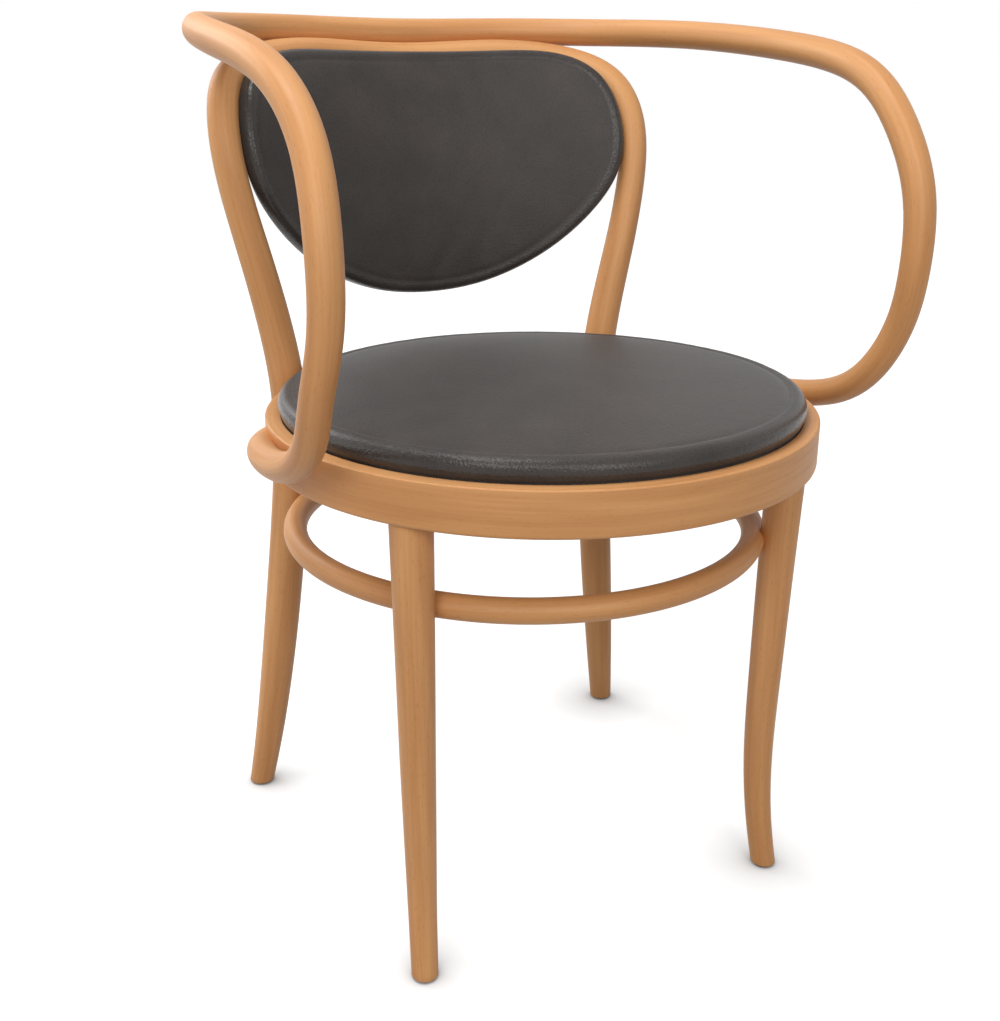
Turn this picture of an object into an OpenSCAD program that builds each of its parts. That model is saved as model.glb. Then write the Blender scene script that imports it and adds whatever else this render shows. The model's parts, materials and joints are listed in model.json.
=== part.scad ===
// Bentwood armchair with a padded seat and a padded back. Millimetres, Z up, the chair faces -Y.
// The origin is on the floor, under the middle of the chair's plan. Left and right are the sitter's.

/* [Seat ring] */
// Outer diameter of the bent seat ring
ring_d = 470; // [440:2:500]
// Depth of the ring's wood, top to bottom
ring_h = 37; // [32:1:44]
// Width of the ring's wood, across the grain
ring_w = 45; // [42:1:50]
// Height of the ring's top face above the floor
seat_h = 437; // [410:1:470]
// Width of the rim that shows round the pad
rim_w = 13; // [11:0.5:15]
// Depth of the rebate that the pad lies in
rebate_h = 12; // [10:0.5:14]
// Rounding of the ring's outer edges
ring_edge_r = 3; // [1:0.5:5]

/* [Front legs] */
// Diameter of a front leg where it meets the ring
front_leg_d = 33.8; // [30:0.2:36]
// Angle of each front leg round the ring from straight ahead
front_leg_angle = 55; // [50:1:60]
// Diameter of the tenon on top of a front leg
tenon_d = 22; // [18:0.5:24]
// Length of the tenon
tenon_h = 20; // [15:0.5:22]

/* [Back frame] */
// Diameter of a rear leg at the ring
rear_leg_d = 33; // [30:0.5:36]
// Diameter of the loop at its top
loop_d = 28; // [25:0.5:30]
// Depth of the notch in a rear leg that the ring sits in
leg_let_in = 3; // [2:0.25:5]
// Angle of the loop below the rail, measured from straight down towards the front
rail_angle = 31; // [26:1:36]

/* [Arm bow] */
// Diameter of the arm rod along the arm
arm_d = 25.4; // [23:0.2:28]
// Height of the rail's top above the seat ring
rail_rise = 322; // [295:1:350]
// How far the back of the rail stands behind the seat ring
back_overhang = 92; // [80:1:105]
// Distance from the seat's middle to the arms' front bend
arm_reach = 172; // [155:1:185]
// Clear space between the ring and the arm beside it
arm_clear = 3.3; // [2:0.1:5]

/* [Stretcher hoop] */
// Diameter of the hoop's rod
hoop_d = 20.8; // [18:0.2:23]
// Drop of the hoop's middle below the underside of the seat ring
hoop_drop = 78; // [60:1:110]
// Depth that the hoop is let into each front leg
hoop_let_front = 4; // [2.5:0.25:5]
// Depth that the hoop is let into each rear leg
hoop_let_rear = 1; // [0.5:0.25:3]

/* [Seat pad] */
// Thickness of the leather
leather_t = 1.2; // [0.8:0.1:1.6]
// Thickness of the round seat board
seat_board_t = 10; // [8:0.5:12]
// Rise of the seat pad's crown above the ring
seat_crown = 22.8; // [18:0.2:30]
// Width of the leather's hem under the seat board
seat_hem_w = 43; // [40:1:48]
// Number of staples in the hem
staple_n = 20; // [12:1:32]

/* [Back pad] */
// Clear height between the seat pad's crown and the back pad
pad_lift = 37.2; // [30:0.2:60]
// Thickness of the pad at its round edge
pad_edge_t = 18; // [15:0.5:20]
// Extra thickness in the pad's middle
pad_crown = 4; // [2:0.5:7]
// How far the pad bows forward between its top and bottom edges
pad_bow = 8; // [6:0.5:12]
// Rise of the pad's top edge above the middle of the loop's top
pad_rise = 7; // [3:0.5:9]
// Clear space between the pad's sides and the loop
pad_side_gap = 2; // [1.5:0.25:6]
// Width of the leather's hem behind the board
pad_hem_w = 12; // [8:1:18]

/* [Fixings] */
// Diameter of the wood screws
screw_d = 4.5; // [3.5:0.1:5]
// Diameter of the rear leg bolts
bolt_d = 6; // [5:0.5:7]
// Diameter of the foot glides
glide_d = 18; // [14:0.5:20]
// Thickness of the foot glides
glide_h = 2; // [1.5:0.25:4]

/* [Hidden] */
$fn = 72;

beech = "#c9935f";
plywood = "#d8b98c";
leather = "#3a3634";
foam = "#e6d8ae";
steel = "#b4b8bc";
nylon = "#33302e";

// Clearance of screws and bolts in their holes, and of wood in its seats
fit = 0.15;
// Clearance between the two bows, and between the pads and the wood
rest_gap = 0.3;
// Clearance between the back pad's board, foam and leather
layer_gap = 0.1;
// Overrun of every cut beyond the wood
over = 1;

// Seat ring
ring_r = ring_d / 2;
ring_z = seat_h - ring_h;
ring_mid_z = seat_h - ring_h / 2;
ring_in_r = ring_r - ring_w;
rebate_r = ring_r - rim_w;
ledge_z = seat_h - rebate_h;

// Front legs: rows of shares of the leg's place under the ring, its length and its top radius
front_leg_r = front_leg_d / 2;
front_seat_r = ring_r - ring_w / 2;
front_x = front_seat_r * sin(front_leg_angle);
front_y = -front_seat_r * cos(front_leg_angle);
front_leg_shares = [
    [1.000, 1.083, 0.000, 0.663],
    [0.982, 1.001, 0.122, 0.698],
    [0.974, 0.960, 0.282, 0.775],
    [0.982, 0.968, 0.482, 0.852],
    [0.988, 0.980, 0.722, 0.923],
    [1.000, 1.000, 1.000, 1.000]];

// Rear legs: rows of shares of the leg's place on the ring, its height there and its radius there
rear_leg_r = rear_leg_d / 2;
rear_seat_r = ring_r + rear_leg_r - leg_let_in;
rear_leg_shares = [
    [0.837, 0.873, 0.000, 0.727],
    [0.801, 0.839, 0.136, 0.848],
    [0.769, 0.813, 0.282, 0.952],
    [0.736, 0.791, 0.447, 1.030],
    [0.704, 0.769, 0.631, 1.048],
    [0.676, 0.749, 0.824, 1.030],
    [0.668, 0.733, 1.008, 0.988]];
rear_seat_y_share = 0.7345;
rear_seat_y = rear_seat_r * rear_seat_y_share;

// Loop of the back: rows of shares of the leg's place on the ring, of the way from there to the loop's
// top, and of the loop's radius
loop_r = loop_d / 2;
loop_shares = [
    [0.716, -0.013, 0.236, 1.107],
    [0.773, -0.021, 0.430, 1.043],
    [0.821, 0.021, 0.592, 0.993],
    [0.849, 0.073, 0.737, 0.979],
    [0.841, 0.184, 0.859, 0.979],
    [0.793, 0.372, 0.948, 0.986],
    [0.656, 0.633, 0.997, 0.993],
    [0.398, 0.880, 1.020, 0.993],
    [0.000, 1.060, 0.990, 1.000]];

// Arm bow: rows of shares of the arm's half width, of its reach ahead of or behind the seat's middle,
// of its rise from the ring to the rail, and of its radius
arm_r = arm_d / 2;
arm_x = ring_r + arm_clear + arm_r;
arm_shares = [
    [0.817, 0.223, 0.001, 0.945],
    [0.968, 0.128, 0.004, 0.945],
    [0.996, -0.174, 0.017, 0.945],
    [1.000, -0.535, 0.060, 0.945],
    [0.996, -0.767, 0.145, 0.945],
    [1.012, -0.901, 0.274, 0.930],
    [0.988, -0.988, 0.408, 0.960],
    [0.992, -0.988, 0.607, 1.000],
    [0.976, -0.826, 0.778, 1.008],
    [1.004, -0.517, 0.911, 1.008],
    [1.030, 0.067, 0.957, 1.000],
    [0.972, 0.478, 0.994, 1.000],
    [0.805, 0.784, 1.000, 1.024],
    [0.490, 0.960, 1.007, 1.039],
    [0.000, 1.020, 0.9965, 1.055]];
rail_r_share = 1.05;
rail_r = arm_r * rail_r_share;
back_reach = ring_r + back_overhang;
rail_y = back_reach - rail_r;
rail_z = seat_h + rail_rise - rail_r;
loop_y = rail_y - (rail_r + loop_r + rest_gap) * sin(rail_angle);
loop_z = rail_z - (rail_r + loop_r + rest_gap) * cos(rail_angle);

// The seat's middle lies ahead of the origin, so that the origin is under the middle of the plan
seat_y = (ring_r - back_reach) / 2;

// Smoothness of the rods: rings for each control point and sides round a rod
arm_steps = 5;
frame_steps = 4;
leg_steps = 8;
arm_sides = 16;
frame_sides = 14;

// Vector helpers
function unit(v) = v / norm(v);
function spot(p) = [p.x, p.y, p.z];
function mirrored(p) = [for (i = [0 : len(p) - 1]) i == 0 ? -p[i] : p[i]];
function flipped(list) = [for (i = [len(list) - 1 : -1 : 0]) list[i]];
function past(p, q) = 2 * p - q;
function between(a, b, share) = a + (b - a) * share;

// Point of a smooth curve between its control points b and c, at u from 0 to 1
function bend(a, b, c, d, u) =
    (pow(1 - u, 3) * a + (3 * pow(u, 3) - 6 * pow(u, 2) + 4) * b
    + (3 * u + 3 * pow(u, 2) - 3 * pow(u, 3) + 1) * c + pow(u, 3) * d) / 6;

// Points along the smooth curve of the control points p, whose first and last spans lean on two more
function curve(p, before, after, steps) =
    let (c = concat([before], p, [after]), last = len(p) - 2)
    [for (i = [0 : last], k = [0 : i == last ? steps : steps - 1])
        bend(c[i], c[i + 1], c[i + 2], c[i + 3], k / steps)];

// Half of a mirrored rod, from its end to its middle, and an open rod from end to end
function half_route(p, steps) = curve(p, past(p[0], p[1]), mirrored(p[len(p) - 2]), steps);
function open_route(p, steps) =
    curve(p, past(p[0], p[1]), past(p[len(p) - 1], p[len(p) - 2]), steps);

front_route = open_route([for (s = front_leg_shares)
    [front_x * s[0], front_y * s[1], between(glide_h, ring_z, s[2]), front_leg_r * s[3]]], leg_steps);

back_route = half_route(concat(
    [for (s = rear_leg_shares)
        [rear_seat_r * s[0], rear_seat_r * s[1], between(glide_h, ring_mid_z, s[2]), rear_leg_r * s[3]]],
    [for (s = loop_shares)
        [rear_seat_r * s[0], between(rear_seat_y, loop_y, s[1]),
            between(ring_mid_z, loop_z, s[2]), loop_r * s[3]]]), frame_steps);

arm_route = half_route([for (s = arm_shares)
    [arm_x * s[0], s[1] < 0 ? arm_reach * s[1] : rail_y * s[1],
        between(ring_mid_z, rail_z, s[2]), arm_r * s[3]]], arm_steps);

// Place and radius [x, y, z, r] on a route where its key, one of its four numbers, has a value
function found(route, key, value) =
    [for (n = [0 : 3]) lookup(value, [for (p = route) [p[key], p[n]]])];

// Parts of the two half routes on which one number only grows or only shrinks
back_leg_rows = (len(rear_leg_shares) + 1) * frame_steps;
back_lower = [for (i = [0 : back_leg_rows]) back_route[i]];
back_upper = [for (i = [len(back_route) - 3 * frame_steps : len(back_route) - 1]) back_route[i]];
arm_first = [for (i = [0 : 2 * arm_steps]) arm_route[i]];
arm_last = [for (i = [len(arm_route) - 2 * arm_steps : len(arm_route) - 1]) arm_route[i]];

// Hoop: a circle that touches both front legs and both rear legs, each let in by its own depth.
// m and n place its middle for a reach s, and the reach is the root of a quadratic.
hoop_r = hoop_d / 2;
hoop_z = ring_z - hoop_drop;
front_at_hoop = found(front_route, 2, hoop_z);
rear_at_hoop = found(back_lower, 2, hoop_z);
front_off = front_at_hoop[3] - hoop_let_front;
rear_off = rear_at_hoop[3] - hoop_let_rear;
leg_dy = front_at_hoop.y - rear_at_hoop.y;
hoop_m = (pow(front_at_hoop.x, 2) - pow(rear_at_hoop.x, 2) + pow(front_at_hoop.y, 2)
    - pow(rear_at_hoop.y, 2) - pow(front_off, 2) + pow(rear_off, 2)) / (2 * leg_dy);
hoop_n = (front_off - rear_off) / leg_dy;
hoop_a = 1 - pow(hoop_n, 2);
hoop_b = 2 * front_off - 2 * (front_at_hoop.y - hoop_m) * hoop_n;
hoop_c = pow(front_off, 2) - pow(front_at_hoop.x, 2) - pow(front_at_hoop.y - hoop_m, 2);
hoop_reach = (sqrt(pow(hoop_b, 2) - 4 * hoop_a * hoop_c) - hoop_b) / (2 * hoop_a);
hoop_y = hoop_m - hoop_n * hoop_reach;
hoop_bend_r = hoop_reach - hoop_r;

// Seat pad: rows of shares of the pad's radius and of its crown, from the ring's top to the middle
seat_pad_r = rebate_r - rest_gap;
seat_board_z = ledge_z + leather_t;
seat_board_r = seat_pad_r - leather_t;
seat_foam_z = seat_board_z + seat_board_t;
seat_hem_r = seat_pad_r - seat_hem_w;
seat_crown_shares = [
    [1.000, 0.00],
    [1.004, 0.14],
    [1.005, 0.34],
    [1.002, 0.54],
    [0.988, 0.74],
    [0.960, 0.82],
    [0.900, 0.86],
    [0.700, 0.93],
    [0.400, 0.985],
    [0.150, 1.00],
    [0.000, 1.00]];
crown_steps = 4;

// Back pad: its outline unrolled flat, in rows of shares of its half width and of its height
pad_shares = [
    [0.000, -0.010],
    [0.293, 0.020],
    [0.581, 0.135],
    [0.818, 0.306],
    [0.996, 0.512],
    [1.011, 0.749],
    [0.928, 0.927],
    [0.708, 1.008],
    [0.368, 0.995],
    [0.000, 0.991]];
outline_steps = 3;
pad_middle_share = 0.55;
pad_ring_shares = [0.75, 0.45, 0.18];
pad_roll_r = pad_edge_t / 2;
pad_skin_r = pad_roll_r - leather_t;
pad_board_r = pad_skin_r - layer_gap;
pad_rear_d = pad_roll_r + layer_gap;
pad_back_d = pad_rear_d + leather_t;
pad_z = seat_h + seat_crown + pad_lift;
pad_h = loop_z + pad_rise - pad_z;
pad_mid_z = pad_z + pad_h / 2;
pad_hang_y = loop_y - loop_r - pad_back_d - rest_gap;
roll_back_angles = [-90, -60, -30, 0];
roll_front_angles = [asin(layer_gap / pad_board_r), 30, 60, 90];
roll_angles = [-90, -60, -30, 0, 30, 60, 90];

// The pad's bend follows the loop: the circle through the loop's top and its shoulder
shoulder_share = 0.6;
shoulder = found(back_upper, 0, rear_seat_r * shoulder_share);
shoulder_sag = loop_y - shoulder.y;
loop_bend_r = (pow(shoulder.x, 2) + pow(shoulder_sag, 2)) / (2 * shoulder_sag);
pad_top_bend_share = 1.04;
pad_low_bend_share = 0.91;
pad_slope_share = 0.465;
pad_slope = pad_slope_share * (loop_y - rear_seat_y) / (loop_z - ring_mid_z);
loop_half_w = max([for (p = back_route) p.z > ring_mid_z ? p.x : 0]);
function pad_bend_r(z) = loop_bend_r
    * between(pad_low_bend_share, pad_top_bend_share, (z - pad_z) / pad_h);
pad_side_x = loop_half_w - loop_r - pad_side_gap;
pad_half_w = pad_bend_r(pad_mid_z) * asin(pad_side_x / pad_bend_r(pad_mid_z)) * PI / 180;

// Screws: every head is a countersunk cone, and every tip a short cone
head_d = 2 * screw_d;
head_h = screw_d / 2;
tip_h = screw_d;
slot_w = screw_d / 5;
slot_h = head_h / 2;
sink = 1.5;

// Screws from behind the loop into the back board, at two places on each side
pad_screw_share = 0.25;
pad_screw_places = [pad_screw_share, shoulder_share];
pad_screw_skin = 3;
pad_screw_bite = pad_board_r - pad_screw_skin;

// Screws up through the ring's ledge into the seat board
seat_screw_r = (ring_in_r + rebate_r) / 2;
seat_screw_bite = 8;
seat_screw_angles = [0, 90, 180, 270];

// Rear leg bolts: dome head outside the leg, washer and nut inside the ring
rear_at_ring = found(back_lower, 2, ring_mid_z);
bolt_angle = atan2(rear_at_ring.y, rear_at_ring.x);
bolt_z = (ring_z + ledge_z) / 2;
bolt_head_d = 2.2 * bolt_d;
bolt_head_h = bolt_d / 2;
bolt_head_sink = 2;
washer_d = 3 * bolt_d;
washer_t = 1.6;
washer_sink = 1;
nut_w = 1.7 * bolt_d;
nut_h = 0.8 * bolt_d;
bolt_end = 3;
bolt_head_r = norm([rear_at_ring.x, rear_at_ring.y]) + rear_at_ring[3] - bolt_head_sink;
washer_r = ring_in_r + washer_sink;

// Screws from inside the ring into the ends of the arm bow
arm_end = found([for (p = arm_first) [p.x, p.y, p.z, norm([p.x, p.y])]], 3, ring_r);
arm_end_angle = atan2(arm_end.y, arm_end.x);
arm_screw_sink = 10;
arm_screw_bite = 12;

// Screws up through the loop into the rail
rail_screw_share = 0.12;
rail_screw_x = rear_seat_r * rail_screw_share;
rail_screw_bite = 16;

// Screws from inside the hoop into the legs
hoop_screw_bite = 16;

// Glides and their nails
nail_d = 2.4;
nail_l = 16;
nail_head_d = 3 * nail_d;
nail_head_h = 0.8;
nail_sink = 0.4;

// Staples in the seat cover's hem
staple_w = 9;
staple_h = 5;
staple_wire = 0.8;
staple_r = (seat_hem_r + ring_in_r) / 2;

// Stands its child upright on the point a, turned to look at the point b
module aimed(a, b) {
    way = b - a;
    translate(a)
        rotate([0, acos(way.z / norm(way)), atan2(way.y, way.x)])
            children();
}

// Puts a child at the seat's middle
module at_seat() {
    translate([0, seat_y, 0]) children();
}

// Doubles a child on the other side of the chair
module both_sides() {
    children();
    mirror([1, 0, 0]) children();
}

// Screw of length l from the middle of its head's face up to its tip
module screw(l) {
    difference() {
        union() {
            cylinder(h = head_h, d1 = head_d, d2 = screw_d);
            cylinder(h = l - tip_h, d = screw_d);
            translate([0, 0, l - tip_h]) cylinder(h = tip_h, d1 = screw_d, d2 = screw_d / 3);
        }
        translate([-head_d, -slot_w / 2, -over]) cube([2 * head_d, slot_w, over + slot_h]);
    }
}

// Hole for a screw, open for its head below
module screw_hole(l, open) {
    translate([0, 0, -open]) cylinder(h = open, d = head_d + 2 * fit);
    cylinder(h = head_h + fit, d1 = head_d + 2 * fit, d2 = screw_d + 2 * fit);
    cylinder(h = l + fit, d = screw_d + 2 * fit);
}

// Directions along a route, and the crosswise directions that follow it without a twist
function headings(p, before, after) =
    let (q = concat([before], p, [after]))
    [for (i = [0 : len(p) - 1]) unit(spot(q[i + 2]) - spot(q[i]))];
function squared(v, h) = unit(v - (v * h) * h);
function crosswise(h, start) =
    [for (i = 0, v = start; i < len(h); i = i + 1, v = i < len(h) ? squared(v, h[i]) : v) v];
function ring_round(p, h, v, sides) = let (w = cross(h, v))
    [for (k = [0 : sides - 1]) spot(p) + p[3] * (v * cos(360 * k / sides) + w * sin(360 * k / sides))];

// The last ring of a rod, cut level at the height z
function levelled(ring, h, z) = [for (v = ring) v + h * ((z - v.z) / h.z)];

// Solid through a list of rings of points
module rod(rings) {
    sides = len(rings[0]);
    last = (len(rings) - 1) * sides;
    polyhedron([for (r = rings) each r], concat(
        [[for (k = [0 : sides - 1]) k], [for (k = [sides - 1 : -1 : 0]) last + k]],
        [for (j = [0 : len(rings) - 2], k = [0 : sides - 1], half = [0, 1])
            let (a = j * sides + k, b = j * sides + (k + 1) % sides)
            half == 0 ? [a, a + sides, b] : [b, a + sides, b + sides]]), convexity = 10);
}

// Rod that runs from its middle to both sides; with a foot height its ends are cut level there
module mirrored_rod(half, sides, foot) {
    out = flipped(half);
    h = headings(out, mirrored(out[1]), past(half[0], half[1]));
    v = crosswise(h, [0, 0, 1]);
    last = len(out) - 1;
    rings = [for (i = [0 : last]) let (ring = ring_round(out[i], h[i], v[i], sides))
        foot > 0 && i == last ? levelled(ring, h[i], foot) : ring];
    rod(concat([for (i = [last : -1 : 1]) [for (p = rings[i]) mirrored(p)]], rings));
}

// Rod whose rings all lie level, as turned legs that lean a little do
module level_rod(route, sides) {
    rod([for (p = route) ring_round(p, [0, 0, 1], [1, 0, 0], sides)]);
}

// Torus of the stretcher hoop, grown by g
module hoop_torus(g) {
    translate([0, hoop_y, hoop_z])
        rotate_extrude()
            translate([hoop_bend_r, 0]) circle(r = hoop_r + g);
}

// Puts a screw, or its hole, from inside the hoop into the leg that stands at p
module at_hoop_joint(p) {
    way = unit([p.x, p.y - hoop_y, 0]);
    from = [0, hoop_y, hoop_z] + way * (hoop_bend_r - hoop_r + sink);
    aimed(from, from + way) children();
}
hoop_screw_l = hoop_d - sink + hoop_screw_bite;

module hoop_screw_at_legs() {
    both_sides() {
        at_hoop_joint(front_at_hoop) children();
        at_hoop_joint(rear_at_hoop) children();
    }
}

// Puts a child at the foot whose middle is p
module at_foot(p) {
    translate([p.x, p.y, 0]) children();
}

module nail_hole() {
    cylinder(h = nail_sink + nail_head_h, d = nail_head_d + 2 * fit);
    cylinder(h = nail_l + fit, d = nail_d + 2 * fit);
}

// Puts a child at each seat screw
module at_seat_screws() {
    for (a = seat_screw_angles)
        rotate([0, 0, a]) translate([seat_screw_r, 0, ring_z + sink]) children();
}
seat_screw_l = ledge_z - ring_z - sink + leather_t + seat_screw_bite;

// Lays a child on the bolt's line, standing on it at the distance r from the seat's middle, looking out
module on_bolt_line(r) {
    rotate([0, 0, bolt_angle]) translate([r, 0, bolt_z]) rotate([0, 90, 0]) children();
}

// Puts a child at the inside of the ring behind the arm's end, looking out
module at_arm_end() {
    rotate([0, 0, arm_end_angle])
        translate([ring_in_r + arm_screw_sink, 0, arm_end.z])
            rotate([0, 90, 0]) children();
}
arm_screw_l = ring_w - arm_screw_sink + arm_screw_bite;

// Puts a child under the loop, looking through it at the rail
module at_rail_joint() {
    low = found(back_upper, 0, rail_screw_x);
    high = found(arm_last, 0, rail_screw_x);
    way = unit(spot(high) - spot(low));
    from = spot(low) - way * (low[3] - sink);
    aimed(from, from + way) children();
}
rail_screw_l = loop_d - sink + rail_screw_bite;

// Puts a child behind the loop at each pad screw, looking through it at the pad
module at_pad_screws() {
    for (s = pad_screw_places) {
        p = found(back_upper, 0, rear_seat_r * s);
        a = asin(p.x / (pad_bend_r(p.z) + pad_back_d + loop_r));
        way = [-sin(a), -cos(a), 0];
        from = spot(p) - way * (p[3] - sink);
        aimed(from, from + way) children();
    }
}
pad_screw_l = loop_d - sink + rest_gap + 2 * leather_t + pad_screw_bite;

// Section of the seat ring
module ring_section() {
    e = ring_edge_r;
    round_low = [for (a = [-90 : 15 : 0]) [ring_r - e + e * cos(a), ring_z + e + e * sin(a)]];
    round_top = [for (a = [0 : 15 : 90]) [ring_r - e / 2 + e / 2 * cos(a), seat_h - e / 2 + e / 2 * sin(a)]];
    polygon(concat([[ring_in_r, ring_z]], round_low, round_top,
        [[rebate_r, seat_h], [rebate_r, ledge_z], [ring_in_r, ledge_z]]));
}

module seat_ring() {
    color(beech) at_seat()
        difference() {
            rotate_extrude() ring_section();
            both_sides() {
                translate([front_x, front_y, ring_z - over])
                    cylinder(h = over + tenon_h + fit, d = tenon_d + 2 * fit);
                on_bolt_line(ring_in_r - over) cylinder(h = ring_w + 2 * over, d = bolt_d + 2 * fit);
                on_bolt_line(ring_in_r - over) cylinder(h = over + washer_sink, d = washer_d + 2 * fit);
                at_arm_end() screw_hole(arm_screw_l, arm_screw_sink + over);
            }
            at_seat_screws() screw_hole(seat_screw_l, sink + over);
        }
}

// Front leg on the side of +X, with its tenon, hoop seat and holes
module front_leg() {
    color(beech) difference() {
        union() {
            level_rod(front_route, frame_sides);
            translate([front_x, front_y, ring_z - tenon_h / 4])
                cylinder(h = tenon_h / 4 + tenon_h, d = tenon_d);
        }
        hoop_torus(fit);
        at_hoop_joint(front_at_hoop) screw_hole(hoop_screw_l, over);
        at_foot(front_route[0]) nail_hole();
    }
}

module front_leg_left() {
    at_seat() front_leg();
}

module front_leg_right() {
    at_seat() mirror([1, 0, 0]) front_leg();
}

module back_frame() {
    color(beech) at_seat()
        difference() {
            mirrored_rod(back_route, frame_sides, glide_h);
            translate([0, 0, ring_z - fit]) cylinder(h = ring_h + 2 * fit, r = ring_r + fit);
            hoop_torus(fit);
            both_sides() {
                at_hoop_joint(rear_at_hoop) screw_hole(hoop_screw_l, over);
                at_foot(back_route[0]) nail_hole();
                on_bolt_line(ring_r - over) cylinder(h = rear_leg_d + 2 * over, d = bolt_d + 2 * fit);
                on_bolt_line(bolt_head_r) cylinder(h = rear_leg_r, d = bolt_head_d + 2 * fit);
                at_rail_joint() screw_hole(rail_screw_l, loop_r);
                at_pad_screws() screw_hole(pad_screw_l, loop_r);
            }
        }
}

module arm_bow() {
    color(beech) at_seat()
        difference() {
            mirrored_rod(arm_route, arm_sides, 0);
            translate([0, 0, ring_z - ring_h]) cylinder(h = 3 * ring_h, r = ring_r + fit);
            both_sides() {
                at_arm_end() screw_hole(arm_screw_l, over);
                at_rail_joint() screw_hole(rail_screw_l, over);
            }
        }
}

module stretcher_hoop() {
    color(beech) at_seat()
        difference() {
            hoop_torus(0);
            hoop_screw_at_legs() screw_hole(hoop_screw_l, hoop_r);
        }
}

// Upper side of the seat pad from the ring's top to the middle, drawn in by d
crown_points = [for (s = seat_crown_shares) [seat_pad_r * s[0], seat_h + seat_crown * s[1]]];
crown_last = len(crown_points) - 1;
crown_curve = curve(crown_points, past(crown_points[0], crown_points[1]),
    mirrored(crown_points[crown_last - 1]), crown_steps);
crown_n = len(crown_curve) - 1;
function crown_way(i) = i == 0 ? [0, 1] : i == crown_n ? [-1, 0]
    : unit(crown_curve[i + 1] - crown_curve[i - 1]);
function crown_inset(d) = [for (i = [0 : crown_n])
    crown_curve[i] + d * [-crown_way(i).y, crown_way(i).x]];

module seat_board() {
    color(plywood) at_seat()
        difference() {
            translate([0, 0, seat_board_z]) cylinder(h = seat_board_t, r = seat_board_r);
            at_seat_screws() screw_hole(seat_screw_l, over);
            staple_ring(fit);
        }
}

module seat_foam() {
    color(foam) at_seat()
        rotate_extrude() polygon(concat(
            [[0, seat_foam_z], [seat_board_r, seat_foam_z]], crown_inset(leather_t)));
}

module seat_cover() {
    color(leather) at_seat()
        difference() {
            rotate_extrude() polygon(concat(
                [[seat_hem_r, ledge_z], [seat_pad_r, ledge_z]], crown_curve,
                flipped(crown_inset(leather_t)),
                [[seat_board_r, seat_board_z], [seat_hem_r, seat_board_z]]));
            at_seat_screws() screw_hole(seat_screw_l, over);
            staple_ring(fit);
        }
}

// Ring of staples: a crown under the hem and two legs up through it into the board, all grown by g
module staple_ring(g) {
    for (k = [0 : staple_n - 1])
        rotate([0, 0, 360 * (k + 0.5) / staple_n]) translate([staple_r, 0, ledge_z]) {
            translate([-staple_wire / 2 - g, -staple_w / 2 - g, -staple_wire])
                cube([staple_wire + 2 * g, staple_w + 2 * g, staple_wire]);
            for (side = [-1, 1])
                translate([-staple_wire / 2 - g, side * (staple_w - staple_wire) / 2
                        - staple_wire / 2 - g, -staple_wire])
                    cube([staple_wire + 2 * g, staple_wire + 2 * g, staple_wire + staple_h + g]);
        }
}

module seat_cover_staples() {
    color(steel) at_seat() staple_ring(0);
}

// Outline of the back pad, unrolled flat, and the outward direction at each of its points
pad_right = [for (s = pad_shares) [pad_half_w * s[0], pad_z + pad_h * s[1]]];
pad_right_n = len(pad_right) - 1;
pad_right_curve = curve(pad_right, mirrored(pad_right[1]), mirrored(pad_right[pad_right_n - 1]),
    outline_steps);
pad_outline = concat(pad_right_curve,
    [for (i = [len(pad_right_curve) - 2 : -1 : 1]) mirrored(pad_right_curve[i])]);
pad_n = len(pad_outline);
function outline_way(i) = unit(pad_outline[(i + 1) % pad_n] - pad_outline[(i + pad_n - 1) % pad_n]);
pad_out = [for (i = [0 : pad_n - 1]) [outline_way(i).y, -outline_way(i).x]];
pad_centre = [0, pad_z + pad_h * pad_middle_share];

// Place in space of the point u round the pad's bend, z high and d in front of its middle surface
function pad_at(u, z, d) =
    let (r = pad_bend_r(z), a = u / r * 180 / PI, t = (z - pad_mid_z) / (pad_h / 2),
        m = pad_slope + 2 * pad_bow * t / (pad_h / 2))
    [r * sin(a), pad_hang_y - (loop_z - z) * pad_slope - pad_bow * (1 - pow(t, 2)) - r * (1 - cos(a)), z]
        + d * unit([-sin(a), -cos(a), m * cos(a)]);

// Ring of the pad drawn in by s from its outline, then shrunk towards the middle by f, at the depth d
function pad_ring(f, s, d) = [for (i = [0 : pad_n - 1])
    let (p = between(pad_centre, pad_outline[i] - s * pad_out[i], f)) pad_at(p.x, p.y, d)];
function pad_pole(d) = pad_at(pad_centre.x, pad_centre.y, d);

// Round edge of the radius r, and the crowned front and flat back at the depth d with the crown c
function roll_rings(r, angles) = [for (a = angles)
    pad_ring(1, pad_roll_r - r * cos(a), r * sin(a))];
function face_rings(d, c) = [for (f = pad_ring_shares) pad_ring(f, pad_roll_r, d + c * (1 - f * f))];
function hem_ring(d) = [pad_ring(1, pad_roll_r + pad_hem_w, d)];
function back_rings(d) = concat(hem_ring(d), face_rings(d, 0));

// Closed solid through rings that start at the pole a and end at the pole b. The first rings, up to the
// number turn, run outwards and are split the other way, so that layers that touch have the same facets.
module closed_skin(a, rings, b, turn) {
    n = len(rings[0]);
    far = len(rings) * n + 1;
    polyhedron(concat([a], [for (r = rings) each r], [b]), concat(
        [for (k = [0 : n - 1]) [0, 1 + k, 1 + (k + 1) % n]],
        [for (j = [0 : len(rings) - 2], k = [0 : n - 1], half = [0, 1])
            let (p = 1 + j * n + k, q = 1 + j * n + (k + 1) % n)
            j < turn ? (half == 0 ? [p, p + n, q + n] : [p, q + n, q])
            : (half == 0 ? [p, p + n, q] : [q, p + n, q + n])],
        [for (k = [0 : n - 1]) [far, far - n + (k + 1) % n, far - n + k]]), convexity = 10);
}

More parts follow.
